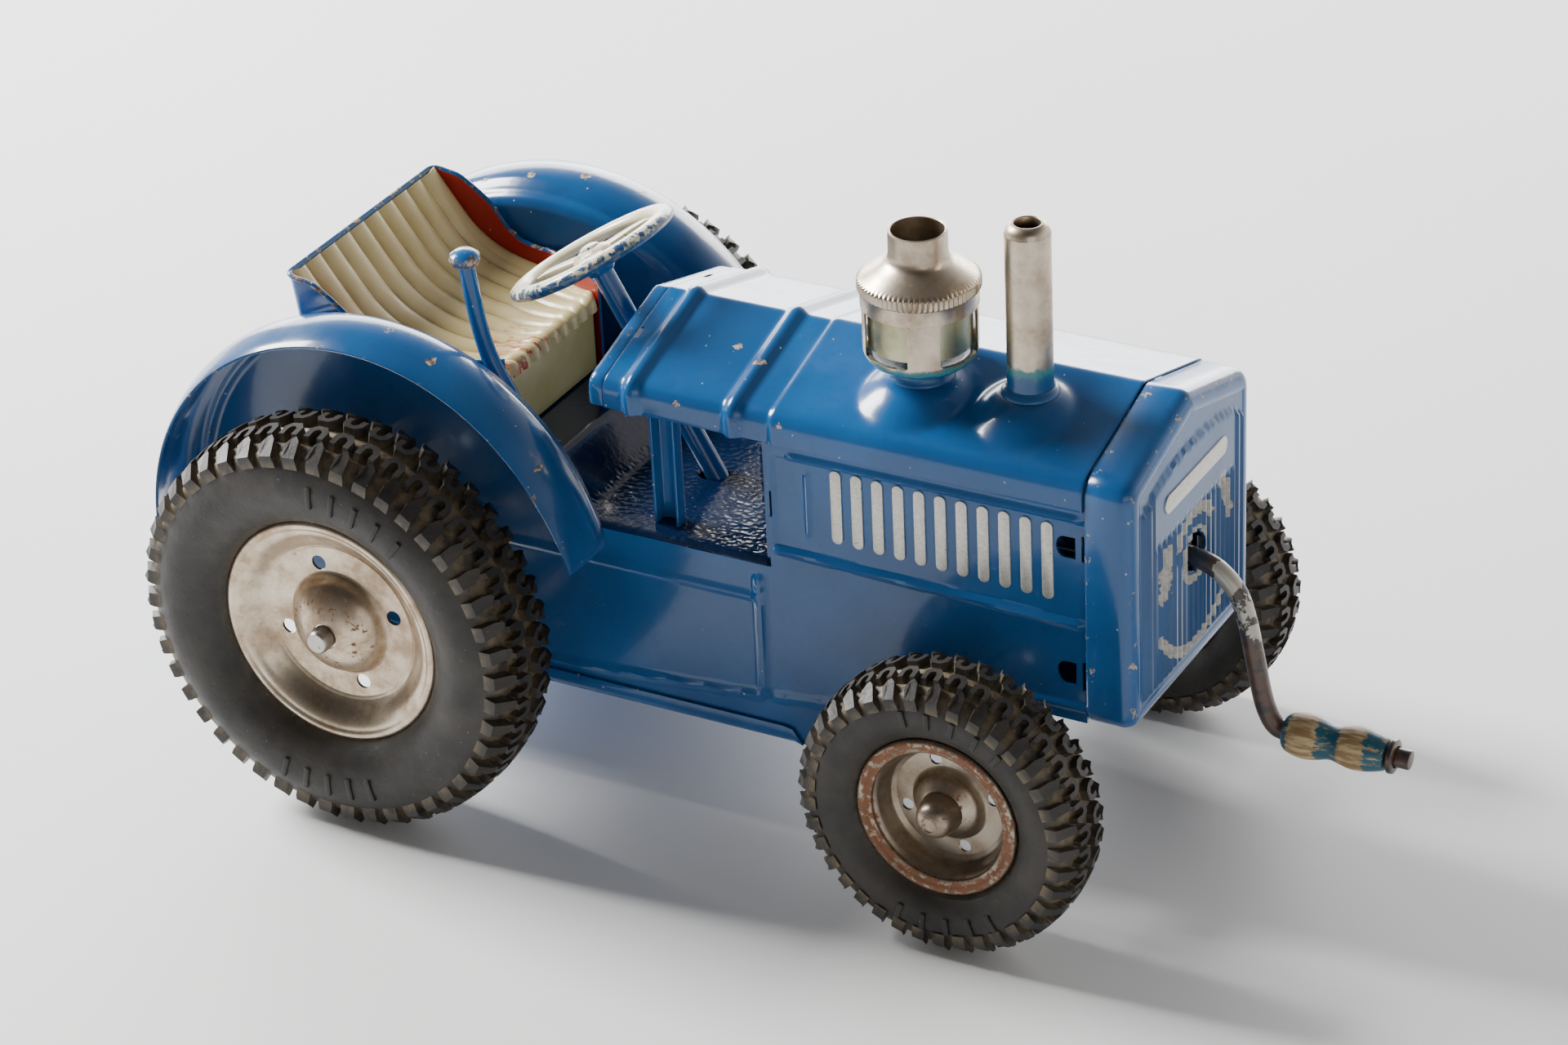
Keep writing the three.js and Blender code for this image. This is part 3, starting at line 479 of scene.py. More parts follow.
def plated(name, bright, patina, amount=0.5, rough=0.28, pits=1.0, dip=None):
    """Nickel or tin plate with a brown patina. dip = (height, colour): enamel below that height."""
    p = Paint(name, rough, metallic=1.0)
    cloud = p.noise(6, 5, seed=1, roughness=0.65)
    base = p.mix(p.maths("MULTIPLY", p.step(cloud, 0.35, 0.7), amount), bright, patina)
    pitted = p.step(p.noise(0.45, 3, seed=6, roughness=0.6), 0.62, 0.72)
    grouped = p.step(p.noise(4.5, 3, seed=12), 0.45, 0.62)
    spots = p.maths("MULTIPLY", p.maths("MULTIPLY", pitted, grouped), 0.75 * pits)
    base = p.mix(spots, base, (0.10, 0.065, 0.04))
    worn = p.attribute("wear")
    flakes = p.step(p.maths("ADD", p.noise(1.1, 5, seed=8, roughness=0.7), p.maths("MULTIPLY", worn, 0.4)),
                    0.74, 0.80)
    base = p.mix(flakes, base, (0.20, 0.085, 0.04))
    dull = p.maths("MAXIMUM", spots, flakes)
    shine = p.maths("SUBTRACT", 1.0, p.maths("MULTIPLY", dull, 0.9))
    rough_now = p.maths("ADD", p.maths("MULTIPLY", p.step(cloud, 0.3, 0.75), 0.16), rough)
    rough_now = p.maths("ADD", rough_now, p.maths("MULTIPLY", dull, 0.35))
    if dip:
        height, paint = dip
        edge = p.maths("ADD", p.along("Z"), p.maths("MULTIPLY", p.noise(1.6, 4, seed=21), -2.2))
        painted = p.step(edge, height - 0.7, height - 1.5)
        tint = p.mix(p.step(edge, height - 1.6, height - 3.2), (0.05, 0.22, 0.25), paint)
        base = p.mix(painted, base, tint)
        shine = p.maths("MULTIPLY", shine, p.maths("SUBTRACT", 1.0, painted))
        rough_now = p.maths("SUBTRACT", rough_now, p.maths("MULTIPLY", painted, 0.1))
    p.colour(base)
    p.metallic(shine)
    p.roughness(rough_now)
    p.raise_by(p.noise(0.8, 3, seed=14), 0.012)
    return p


def blue_enamel():
    return enamel("blue_enamel", (0.008, 0.078, 0.240), (0.013, 0.108, 0.320)).material


def fender_enamel():
    return enamel("mudguard_enamel", (0.008, 0.070, 0.215), (0.012, 0.100, 0.290)).material


def radiator_enamel():
    return enamel("radiator_enamel", (0.009, 0.084, 0.255), (0.014, 0.112, 0.330), chips=1.15,
                  primer=(0.46, 0.44, 0.38), rust=(0.30, 0.25, 0.19)).material


def rib_enamel():
    """The ribbed front, rubbed through to grey tin where the crank has scraped it."""
    return enamel("rib_enamel", (0.010, 0.070, 0.205), (0.014, 0.095, 0.27), chips=1.6,
                  primer=(0.44, 0.44, 0.42), rust=(0.34, 0.33, 0.30), gloss=0.28).material


def floor_enamel():
    """Very glossy dark enamel that has crinkled as it dried."""
    p = enamel("dark_floor_enamel", (0.003, 0.010, 0.032), (0.006, 0.022, 0.075), gloss=0.12,
               dust=0.8, chips=0.6)
    crinkle = p.node("TexVoronoi", {"Vector": p.stretched((1, 1.3, 1)), "Scale": 1 / (1.0 * MM)},
                     feature="SMOOTH_F1").outputs["Distance"]
    flat = p.step(p.along("Z"), SILL_Z + 1.6, SILL_Z + 0.4)
    p.raise_by(p.maths("MULTIPLY", crinkle, flat), 0.16)
    p.raise_by(p.noise(0.8, 3, seed=5), 0.03)
    return p.material


def cream_enamel():
    """Seat enamel: darkened brown in its grooves, dirt together with painted shade, scuffed red near the front, with
    small dark chips.
    """
    p = Paint("cream_enamel", 0.34, coat=0.25, coat_roughness=0.2)
    base = p.mix(p.step(p.noise(12, 3), 0.35, 0.7), (0.58, 0.47, 0.21), (0.69, 0.58, 0.31))
    groove = p.attribute("wear")
    # dirt together with painted shade: brown in the pleat grooves, at the rolled front and at the top of the back
    dirt = p.maths("MULTIPLY", groove, p.step(p.noise(5, 4, seed=3), 0.3, 0.75))
    base = p.mix(p.maths("MULTIPLY", dirt, 0.75), base, (0.38, 0.27, 0.12))
    front = p.step(p.along("X"), 1.0, 9.0)
    right = p.step(p.along("Y"), 8.0, -2.0)
    streak = p.step(p.noise(1.9, 5, (0.45, 1.5, 1), seed=9, roughness=0.7), 0.545, 0.58)
    red = p.maths("MULTIPLY", streak, p.maths("MULTIPLY", front, right))
    base = p.mix(red, base, (0.50, 0.075, 0.04))
    brown = p.step(p.noise(1.3, 5, seed=13, roughness=0.75), 0.70, 0.74)
    base = p.mix(p.maths("MULTIPLY", brown, 0.85), base, (0.20, 0.11, 0.05))
    base = p.mix(p.dots(3.4, 0.55, 0.12, seed=2), base, (0.09, 0.06, 0.04))
    p.colour(base)
    p.roughness(p.maths("ADD", p.maths("MULTIPLY", p.step(p.noise(4, 4, seed=6), 0.4, 0.7), 0.18), 0.30))
    p.raise_by(p.noise(2.2, 3, seed=8), 0.05)
    p.raise_by(red, -0.05)
    return p.material


def box_enamel():
    """The plainer greenish cream under the seat."""
    p = Paint("seat_box_enamel", 0.3, coat=0.3, coat_roughness=0.15)
    base = p.mix(p.step(p.noise(9, 3), 0.3, 0.7), (0.43, 0.38, 0.15), (0.52, 0.46, 0.21))
    stain = p.step(p.noise(1.6, 5, seed=4, roughness=0.7), 0.68, 0.74)
    p.colour(p.mix(p.maths("MULTIPLY", stain, 0.7), base, (0.25, 0.15, 0.07)))
    p.raise_by(p.noise(3, 3, seed=2), 0.05)
    return p.material


def wheel_enamel():
    """Cream that has worn off a blue undercoat, most on the outside and underneath."""
    p = Paint("steering_enamel", 0.3, coat=0.35, coat_roughness=0.15)
    cream = p.mix(p.step(p.noise(5, 3), 0.3, 0.7), (0.66, 0.60, 0.40), (0.80, 0.76, 0.58))
    worn = p.attribute("wear")
    mask = p.step(p.maths("ADD", p.noise(1.5, 5, (1, 1, 1), seed=3, roughness=0.7),
                          p.maths("MULTIPLY", worn, 0.38)), 0.66, 0.70)
    under = p.mix(p.step(p.noise(0.9, 4, seed=7), 0.52, 0.60), (0.012, 0.07, 0.19), (0.15, 0.17, 0.16))
    base = p.mix(mask, cream, under)
    brown = p.step(p.noise(2.4, 4, seed=15, roughness=0.7), 0.66, 0.69)
    p.colour(p.mix(brown, base, (0.11, 0.07, 0.045)))
    p.raise_by(mask, -0.06)
    p.raise_by(p.noise(1.2, 3, seed=5), 0.05)
    return p.material


def red_enamel():
    return enamel("red_enamel", (0.30, 0.010, 0.008), (0.42, 0.018, 0.012), gloss=0.3, dust=0.5,
                  chips=0.6).material


def silver_print():
    p = Paint("silver_print", 0.42, metallic=0.65)
    grain = p.noise(0.35, 3, seed=2)
    base = p.mix(p.step(grain, 0.3, 0.7), (0.50, 0.50, 0.46), (0.66, 0.65, 0.60))
    lost = p.step(p.noise(0.8, 4, seed=4, roughness=0.7), 0.66, 0.72)
    p.colour(p.mix(lost, base, (0.02, 0.08, 0.2)))
    p.raise_by(grain, 0.03)
    return p.material


def rubber():
    """Old moulded rubber: brown-grey with pale dust, tan dirt where the tread is deep."""
    p = Paint("tyre_rubber", 0.5)
    p.shader.inputs["Specular IOR Level"].default_value = 0.4
    base = p.mix(p.step(p.noise(8, 4, seed=1), 0.35, 0.7), (0.017, 0.0155, 0.014), (0.038, 0.033, 0.028))
    dirt = p.attribute("wear")
    patchy = p.step(p.noise(2.2, 4, seed=5), 0.30, 0.62)
    base = p.mix(p.maths("MULTIPLY", p.maths("MULTIPLY", dirt, patchy), 0.75), base, (0.20, 0.150, 0.085))
    base = p.mix(p.maths("MULTIPLY", p.dots(1.1, 0.12, 0.35, seed=3), 0.35), base, (0.40, 0.36, 0.32))
    p.colour(base)
    p.roughness(p.maths("ADD", p.maths("MULTIPLY", p.noise(3, 4, seed=8), 0.22), 0.38))
    p.raise_by(p.noise(0.55, 4, seed=6, roughness=0.6), 0.05)
    p.raise_by(p.noise(4, 3, seed=16), 0.15)
    return p.material


def grip_wood():
    """Turned wood with a streaky grain, and what is left of two blue bands."""
    p = Paint("grip_wood", 0.5)
    grain = p.noise(0.7, 5, (0.12, 1, 1), seed=2, roughness=0.65)
    base = p.mix(p.step(grain, 0.40, 0.62), (0.30, 0.19, 0.08), (0.62, 0.47, 0.26))
    x = p.along("X")
    grip_rear = low("crank_grip").x
    off_waist = p.maths("ABSOLUTE", p.maths("SUBTRACT", x, grip_rear + 7.4))
    one = p.maths("SUBTRACT", 1.0, p.step(off_waist, 1.2, 2.6))
    two = p.step(x, grip_rear + 12.0, grip_rear + 13.8)
    three = p.step(x, grip_rear + 2.0, grip_rear + 0.6)
    bands = p.maths("MAXIMUM", p.maths("MAXIMUM", one, two), three)
    rubbed = p.noise(0.8, 5, (0.2, 1, 1), seed=6, roughness=0.7)
    paint = p.step(p.maths("ADD", p.maths("MULTIPLY", bands, 0.34), rubbed), 0.68, 0.80)
    blue = p.mix(p.noise(2, 3), (0.012, 0.075, 0.12), (0.025, 0.14, 0.20))
    p.colour(p.mix(paint, base, blue))
    p.roughness(p.maths("ADD", p.maths("MULTIPLY", paint, -0.15), 0.52))
    p.raise_by(grain, 0.08)
    return p.material


def crank_finish():
    """A painted rod: blue-black by the radiator, a pale bare patch at the bend, brown below."""
    p = Paint("crank_finish", 0.36, coat=0.2)
    z, cloud = p.along("Z"), p.noise(3.2, 5, seed=3, roughness=0.65)
    dark = p.mix(p.step(cloud, 0.42, 0.58), (0.012, 0.028, 0.05), (0.065, 0.045, 0.035))
    brown = p.mix(p.step(p.noise(2.2, 4, seed=7), 0.4, 0.6), (0.10, 0.055, 0.038), (0.03, 0.028, 0.032))
    base = p.mix(p.step(z, CRANK_Z - 8, CRANK_Z - 14), dark, brown)
    patch = p.maths("MULTIPLY", p.step(z, CRANK_Z + 1.2, CRANK_Z - 0.6),
                    p.step(z, CRANK_Z - 14, CRANK_Z - 10))
    ahead = p.step(p.along("X"), RADIATOR_FRONT + 2, RADIATOR_FRONT + 6)
    bare = p.step(p.maths("ADD", p.noise(3.4, 5, seed=11, roughness=0.6),
                          p.maths("MULTIPLY", p.maths("MULTIPLY", patch, ahead), 0.26)), 0.69, 0.71)
    base = p.mix(bare, base, (0.42, 0.40, 0.35))
    p.colour(base)
    p.metallic(p.maths("MULTIPLY", bare, 0.4))
    p.raise_by(bare, -0.05)
    p.raise_by(p.noise(0.8, 4, seed=5), 0.03)
    return p.material


def plain_metal(name, a, b, rough=0.38, metallic=1.0):
    """Cut or stamped metal inside and under the tractor."""
    p = Paint(name, rough, metallic=metallic)
    base = p.mix(p.step(p.noise(5, 4, seed=2), 0.35, 0.7), a, b)
    stain = p.step(p.noise(1.2, 4, seed=9, roughness=0.7), 0.63, 0.72)
    p.colour(p.mix(p.maths("MULTIPLY", stain, 0.7), base, tuple(c * 0.35 for c in a)))
    p.roughness(p.maths("ADD", p.maths("MULTIPLY", stain, 0.25), rough))
    p.raise_by(p.noise(0.9, 3, (0.3, 1, 1), seed=4), 0.02)
    return p.material


NICKEL, PATINA, BLUE_DIP = (0.54, 0.47, 0.38), (0.28, 0.20, 0.125), (0.014, 0.090, 0.25)
BLUE = blue_enamel()
MUDGUARD = fender_enamel()
RADIATOR_BLUE = radiator_enamel()
RIBS = rib_enamel()
DARK = floor_enamel()
CREAM = cream_enamel()
BOX_CREAM = box_enamel()
STEERING = wheel_enamel()
RED = red_enamel()
SILVER = silver_print()
RUBBER = rubber()
WOOD = grip_wood()
CRANK = crank_finish()
FILTER_BASE, EXHAUST_BASE = low("filter_bowl").z, low("exhaust_pipe").z
NICKEL_FILTER = plated("filter_nickel", NICKEL, PATINA, 0.75, dip=(FILTER_BASE + 4.4, BLUE_DIP)).material
NICKEL_PIPE = plated("exhaust_nickel", NICKEL, PATINA, 0.75, dip=(EXHAUST_BASE + 4.8, BLUE_DIP)).material
SLEEVE = plated("sleeve_tin", (0.42, 0.42, 0.28), (0.26, 0.22, 0.11), 0.6, rough=0.3, pits=0.6).material
RIM_TIN = plated("rear_rim_tin", (0.60, 0.51, 0.40), (0.29, 0.195, 0.115), 0.85, rough=0.27).material
RIM_FRONT = plated("front_rim_tin", (0.36, 0.31, 0.25), (0.19, 0.135, 0.09), 0.8, rough=0.3).material
STEEL = plain_metal("steel", (0.36, 0.34, 0.31), (0.48, 0.45, 0.42))
BRASS = plain_metal("brass", (0.55, 0.40, 0.16), (0.66, 0.50, 0.24), 0.3)


# ---------------------------------------------------------------- hood, dash and radiator
def gable(low_z, bottom=False):
    """The (y, z) section from the right foot over the ridge to the left foot."""
    corners = [(-HOOD_HALF, low_z), (-HOOD_HALF, HOOD_SHOULDER), (0, HOOD_RIDGE),
               (HOOD_HALF, HOOD_SHOULDER), (HOOD_HALF, low_z)]
    radii = [3.4, 2.2, 3.4]
    if bottom:  # a closed loop that starts and ends in the middle of the foot
        corners = [(0, low_z), *corners, (0, low_z)]
        radii = [3.0, *radii, 3.0]
    return finer(rounded(corners, radii, 8), 0.75)


def hood_cover():
    section = gable(HOOD_LOW)
    normals = outward(section)
    ribs, rib_half, rib_height = (40.0, 57.2), 1.75, 0.95
    bosses = [(centre(n).x - AXLE_X, centre(n).y, low(n).z - 0.25, flat)
              for n, flat in (("filter_bowl", 5.0), ("exhaust_pipe", 4.2))]
    chips = [(57.2, -20.5, 69.4, 1.3), (65.0, -20.6, 70.0, 0.9), (52.0, -9.0, 74.6, 1.0),
             (57.4, -12.0, 74.0, 1.1), (48.0, -20.4, 70.0, 0.9), (57.2, 20.5, 69.4, 1.3)]

    def point(x, k):
        (y, z), (ny, nz) = section[k], normals[k]
        lift = sum(rib_height * bump(x - rib, rib_half) for rib in ribs)
        lift += 0.35 * min(max((x - 63.2) / 0.5, 0), 1)
        y, z = y + ny * lift, z + nz * lift
        for bx, by, top, flat in bosses:
            away = max(math.hypot(x - bx, y - by) - flat, 0)
            rise = (top - 0.34 * away ** 1.5 - z) / 0.3
            if abs(y) < 19 and rise > -12:
                z += 0.3 * math.log1p(math.exp(min(rise, 30)))
        return x, y, z

    def wear(x, k):
        px, py, pz = point(x, k)
        worn = 0.35 if min(k, len(section) - 1 - k) < 2 else 0.0
        worn = max([worn] + [1.2 * bump(math.dist((px, py, pz), c[:3]), 2 * c[3]) for c in chips])
        on_rib = max(bump(x - rib, 0.9) for rib in ribs)
        return max(worn, 0.45 * on_rib)

    xs = lines(0.55, HOOD_REAR, 36.0, 38.1, 42.0, 55.3, 59.1, 62.9, 64.0, HOOD_FRONT)
    ks = list(range(len(section)))
    notch_spans = [(0.26, 0.30), (0.70, 0.74)]

    def keep(x, k):
        share = k / len(section)
        return x > 36.0 or not any(a < share < b for a, b in notch_spans)

    hood = grid("hood_cover", xs, ks, point, keep, wear)
    return thicken(hood, TIN, 0.12)


def dash_cap():
    section = gable(HOOD_LOW)
    normals = outward(section)
    rows = [(35.0, 0.0), (34.2, 0.0), (33.4, 0.0), (32.9, 0.12), (32.55, 0.4), (32.4, 0.8), (32.4, 1.4)]
    width = len(section)
    points = [(x, y - ny * inset, z - nz * inset)
              for x, inset in rows for (y, z), (ny, nz) in zip(section, normals)]
    faces = [(i * width + k, i * width + k + 1, (i + 1) * width + k + 1, (i + 1) * width + k)
             for i in range(len(rows) - 1) for k in range(width - 1)]
    faces.append(tuple(range((len(rows) - 1) * width, len(rows) * width)))
    wear = [0.5 if 1 <= i <= 4 else 0.1 for i in range(len(rows)) for _ in section]
    return thicken(recalculated(build("dash_cap", points, faces, wear)), TIN, 0.1, -1)


def radiator_frame():
    """The gabled band round the radiator, with its soft front edge and the face's border."""
    section = gable(RADIATOR_LOW, bottom=True)
    normals = outward(section)
    soft = 1.9
    rows = [(RADIATOR_REAR, 0.25), (RADIATOR_REAR + 0.3, 0.0), (RADIATOR_FRONT - soft, 0.0)]
    rows += [(RADIATOR_FRONT - soft * (1 - math.sin(a)), soft * (1 - math.cos(a)))
             for a in (math.radians(d) for d in (15, 30, 45, 60, 75, 90))]
    rows += [(RADIATOR_FRONT, soft + 0.5), (RADIATOR_FRONT - 0.3, soft + 1.0)]
    width = len(section)
    points = [(x, y - ny * inset, z - nz * inset)
              for x, inset in rows for (y, z), (ny, nz) in zip(section, normals)]
    faces = [(i * width + k, i * width + k + 1, (i + 1) * width + k + 1, (i + 1) * width + k)
             for i in range(len(rows) - 1) for k in range(width - 1)]
    wear = [0.55 if i in (0, 1, 5, 6, 7) else 0.15 for i in range(len(rows)) for _ in section]
    return thicken(build("radiator_frame", points, faces, wear), TIN, 0.1, -1)


PLATE_HALF = 14.0
SCRAPES = [  # radius about the crank, width, and the angles between which the paint is gone
    (3.9, 1.2, 0, 360), (14.7, 1.5, 215, 312), (10.8, 3.2, 150, 188), (12.2, 2.4, 4, 40),
    (7.2, 1.5, 35, 150),
]


def plate_edges(y):
    """Lowest and highest Z of the raised blank plate under the peak, or None beside it."""
    if abs(y) > PLATE_HALF:
        return None
    return 58.6, 69.8 - 0.010 * y * y


def scraped(y, z):
    """Where the swinging crank has rubbed the ribs bare."""
    away = math.hypot(y, z - CRANK_Z - 0.5)
    angle = math.degrees(math.atan2(z - CRANK_Z - 0.5, y)) % 360
    worst = 0.0
    for radius, width, start, end in SCRAPES:
        past = max(start - angle, angle - end, 0) / 8
        worst = max(worst, bump(away - radius, width) * max(1 - past, 0))
    return worst


def radiator_face():
    """The ribbed front inside the frame, with the blank plate and the crank's hole."""
    inset, rib_pitch = 2.2, 1.72
    half, bottom = HOOD_HALF - inset, RADIATOR_LOW + inset
    slope = (HOOD_RIDGE - HOOD_SHOULDER) / HOOD_HALF

    def top(y):
        corner = 0.9 * max(abs(y) - half + 2.2, 0) ** 2 / 2.2
        return HOOD_RIDGE - inset - slope * abs(y) - corner

    def foot(y):
        return bottom + 0.9 * max(abs(y) - half + 1.8, 0) ** 2 / 1.8

    def place(y, t):
        return foot(y) + t * (top(y) - foot(y))

    def relief(y, z):
        edges = plate_edges(y)
        on_plate = 0.0
        if edges:
            inside = min(z - edges[0], edges[1] - z, PLATE_HALF - abs(y))
            on_plate = min(max(inside / 0.5 + 0.5, 0), 1)
        within = min(z - bottom - 1.2, 69.6 - 0.02 * y * y + 0.15 * abs(y) - z, half - 0.9 - abs(y))
        rib = 0.5 + 0.5 * math.cos(2 * math.pi * y / rib_pitch)
        ribs = 0.8 * rib * min(max(within / 0.8, 0), 1)
        return ribs * (1 - on_plate) + 0.6 * on_plate

    def wear(y, t):
        z = place(y, t)
        crest = 0.5 + 0.5 * math.cos(2 * math.pi * y / rib_pitch)
        return 1.5 * scraped(y, z) * (0.7 + 0.3 * crest)

    ys = steps(-half, half, 0.28)
    face = grid("radiator_face", ys, steps(0, 1, 1 / 70),
                lambda y, t: (RADIATOR_FRONT + 0.1 + relief(y, place(y, t)), y, place(y, t)), wear=wear)
    thicken(recalculated(face), 0.4, 0, 0)
    hole = rod(3.3, (RADIATOR_REAR, 0, CRANK_Z + 0.9), (RADIATOR_FRONT + 4, 0, CRANK_Z + 0.9), 40)
    return drilled(face, hole)


def plate_bar():
    """A plain raised bar on the plate, in place of lettering."""
    half, z, h = 9.6, 64.2, 1.5
    outline = [(half * s + h * 0.9 * math.cos(a), z + h * math.sin(a))
               for s, start in ((1, -90), (-1, 90))
               for a in (math.radians(start + d) for d in range(0, 181, 20))]
    return prism("plate_bar", outline, 0.5, lambda y, v, x: (RADIATOR_FRONT + 0.65 + x, y, v), 0.16)


# ---------------------------------------------------------------- sides, floor and base
def side_low(x):
    """The lower edge of a side panel: low behind, raised over the front axle."""
    return level(x, [(67, BODY_LOW), (70, 16.6), (73.5, 20.0), (81, 30.4), (83.5, 31.4)])


def groove(distance, width, depth):
    return depth * bump(distance, width)


def side_relief(x, z):
    """How far the pressed beads stand out from a side panel."""
    out = 0.0
    if x > FIREWALL_X + 1:
        border = level(x, [(FIREWALL_X, 48.9), (HOOD_FRONT, 47.6)])
        out += groove(z - border, 0.9, 0.55) if x < 113 else 0
        out += groove(z - 65.1, 0.8, 0.4) if 66 < x < 113 else 0
        out -= 0.25 * (border < z < 65.0) * min((z - border) / 0.8, 1, (65.1 - z) / 0.8)
    if 51.9 < z < 63.2:
        out += groove(x - 69.0, 0.6, 0.4) * min((z - 51.9) / 0.8, 1, (63.2 - z) / 0.8)
    floor_line = level(x, [(26, 19.9), (69, 23.4)])
    if x < 62:
        out += groove(z - 39.8, 0.85, 0.5) if x < 59.6 else 0
        out += groove(z - floor_line, 0.9, 0.45) if x < 59.6 else 0
    if 22.5 < z < 44.2:
        fade = min((z - 22.5) / 1.5, 1, (44.2 - z) / 1.5)
        out += groove(x - 60.3, 1.3, 0.8) * fade
    out += groove(z - level(x, [(62, 22.9), (72, 24.0), (84, 33.4), (113, 33.8)]), 0.9, 0.35) * (x > 62)
    return out


def side_panel(name, sign):
    """One side of the body: the low part behind, the tall part under the hood, with its openings."""
    holes = [(109.3, 112.4, 58.4, 61.9), (109.3, 112.4, 37.5, 41.2)]
    slits = [(FIREWALL_X, FIREWALL_X + 0.7, 54.2, 58.6), (113.35, HOOD_FRONT, 58.2, 62.4),
             (113.35, HOOD_FRONT, 36.9, 41.6)]
    step_z, top_z = SILL_Z - 0.9, HOOD_LOW - 0.35

    def place(x, t):
        z = side_low(x) + t * (step_z - side_low(x)) if t < 1 else step_z + (t - 1) * (top_z - step_z)
        return x, sign * (SIDE_Y - TIN / 2 + side_relief(x, z)), z

    def wear(x, t):
        z = place(x, t)[2]
        edge = 0.32 if t < 0.02 or t > 1.98 else 0.0
        return max(edge, 0.54 * bump(x - 62.4, 0.8) * (z > SILL_Z), 0.35 * bump(x - 113.9, 0.7))

    xs = lines(0.6, BODY_REAR, 58.9, 61.7, FIREWALL_X + 0.1, 63, 68, 70, HOOD_FRONT)
    panel = grid(name, xs, lines(1 / 56, 0, 1, 2), place, lambda x, t: t < 1 or x > FIREWALL_X + 0.1, wear)
    thicken(recalculated(panel), TIN, 0, 0)
    cutters = []
    for x0, x1, z0, z1 in holes + slits:
        middle, half = (z0 + z1) / 2, (z1 - z0) / 2
        if x1 - x0 > 1:  # a D: round towards the rear, square in front
            outline = [(x1, z0), (x1, z1)] + [
                (x0 + half * 0.75 - half * 0.75 * math.sin(a), middle + half * math.cos(a))
                for a in (math.radians(d) for d in range(0, 181, 20))]
        else:
            outline = [(x0, z0), (x1, z0), (x1, z1), (x0, z1)]
        cutters.append(prism("cutter", outline, 6, lambda u, v, h: (u, sign * (SIDE_Y - 3 + h), v), 0))
    return drilled(panel, *cutters)


def louvres(name, sign):
    """Eleven raised stripes that stand for the bonnet's air slots."""
    stripes = []

    def place(u, v, h):
        return u, sign * (SIDE_Y - 0.28 + h), v

    for i in range(11):
        x, half = 73.8 + 3.42 * i, 0.92
        z0, z1 = 53.0 - 0.11 * i, 63.4 - 0.06 * i
        outline = [(x + half * math.cos(a), (z1 if math.sin(a) > 0 else z0) + half * math.sin(a))
                   for a in (math.radians(d + 7.5) for d in range(0, 360, 15))]
        stripes.append(prism("stripe", outline, 0.3, place, 0.1))
    return joined(name, stripes)


def floor_plate():
    """Deck, slope and floor in one sheet, bent down along both sills."""
    line = finer(rounded([(FIREWALL_X - 0.8, SILL_Z), (FLOOR_REAR, SILL_Z), (DECK_FRONT, DECK_Z),
                          (BODY_REAR + 0.4, DECK_Z)], [3.0, 2.0], 5), 1.0)
    half, bend = SIDE_Y - 0.1, 1.1
    across = [(-half, -1.9)] + [(-half + bend * (1 - math.sin(a)), -bend * (1 - math.cos(a)))
                                for a in (math.radians(d) for d in (90, 65, 40, 20, 0))]
    across += [(y, 0.0) for y in steps(-half + bend + 1, half - bend - 1, 1.2)]
    across += [(-y, z) for y, z in across[5::-1]]

    def wear(k, j):
        return 0.55 if j in (1, 2, 3, len(across) - 4, len(across) - 3, len(across) - 2) else 0.05

    plate = grid("floor_plate", list(range(len(line))), list(range(len(across))),
                 lambda k, j: (line[k][0], across[j][0], line[k][1] + across[j][1]), wear=wear)
    thicken(recalculated(plate), TIN, 0.08, -1)
    foot = Vector((41.2, 0, SILL_Z))
    lean = Vector((-0.5, 0, 0.86)).normalized()
    column_hole = rod(2.3, tuple(foot - 8 * lean), tuple(foot + 8 * lean), 28)
    outline = [(18.8, -19.6), (25.2, -19.6), (25.2, -16.4), (18.8, -16.4)]
    slot_cutter = prism("cutter", outline, 20, lambda u, v, h: (u, v, 42 + h), 0)
    tabs = [prism("cutter", [(48.0, 0), (52.3, 0), (52.3, 0.5), (48.0, 0.5)], 6,
                  lambda u, v, h, s=s: (u, s * (SIDE_Y - 3 + h), SILL_Z - 1.2 + v), 0) for s in (-1, 1)]
    return drilled(plate, column_hole, slot_cutter, *tabs)


def dash_post(name, sign):
    """A channel between the floor and the dash, open to the outside."""
    section = rounded([(40.8, 17.3), (40.8, 14.8), (44.6, 14.8), (44.6, 17.3)], [0.5, 0.5], 4)
    rows = steps(SILL_Z + 0.1, 71.2, 2.5)
    points = [(x, sign * y, z) for x, y in section for z in rows]
    width = len(rows)
    faces = [(i * width + k, (i + 1) * width + k, (i + 1) * width + k + 1, i * width + k + 1)
             for i in range(len(section) - 1) for k in range(width - 1)]
    wear = [0.4 if i in (0, len(section) - 1) else 0.08 for i in range(len(section)) for _ in rows]
    post = build(name, points, faces, wear)
    return thicken(recalculated(post), TIN, 0.12, 0)


def base_tray():
    """The chassis plate, its sides folded up over the side panels."""
    half, up, front = SIDE_Y + 0.35, 2.7, 66.6
    section = finer(rounded([(-half, BODY_LOW + up), (-half, BODY_LOW + 0.2), (half, BODY_LOW + 0.2),
                             (half, BODY_LOW + up)], [0.9, 0.9], 4), 2.0)
    xs = lines(2.0, BODY_REAR, 60, front)

    def point(x, k):
        y, z = section[k]
        cut = up * max((x - front + 2.4) / 2.4, 0) ** 2
        return x, y, min(z, BODY_LOW + up - cut) if z > BODY_LOW + 0.5 else z

    tray = grid("base_tray", xs, list(range(len(section))), point,
                wear=lambda x, k: 0.5 if k in (0, len(section) - 1) else 0.1)
    return thicken(recalculated(tray), TIN, 0.1, 0)


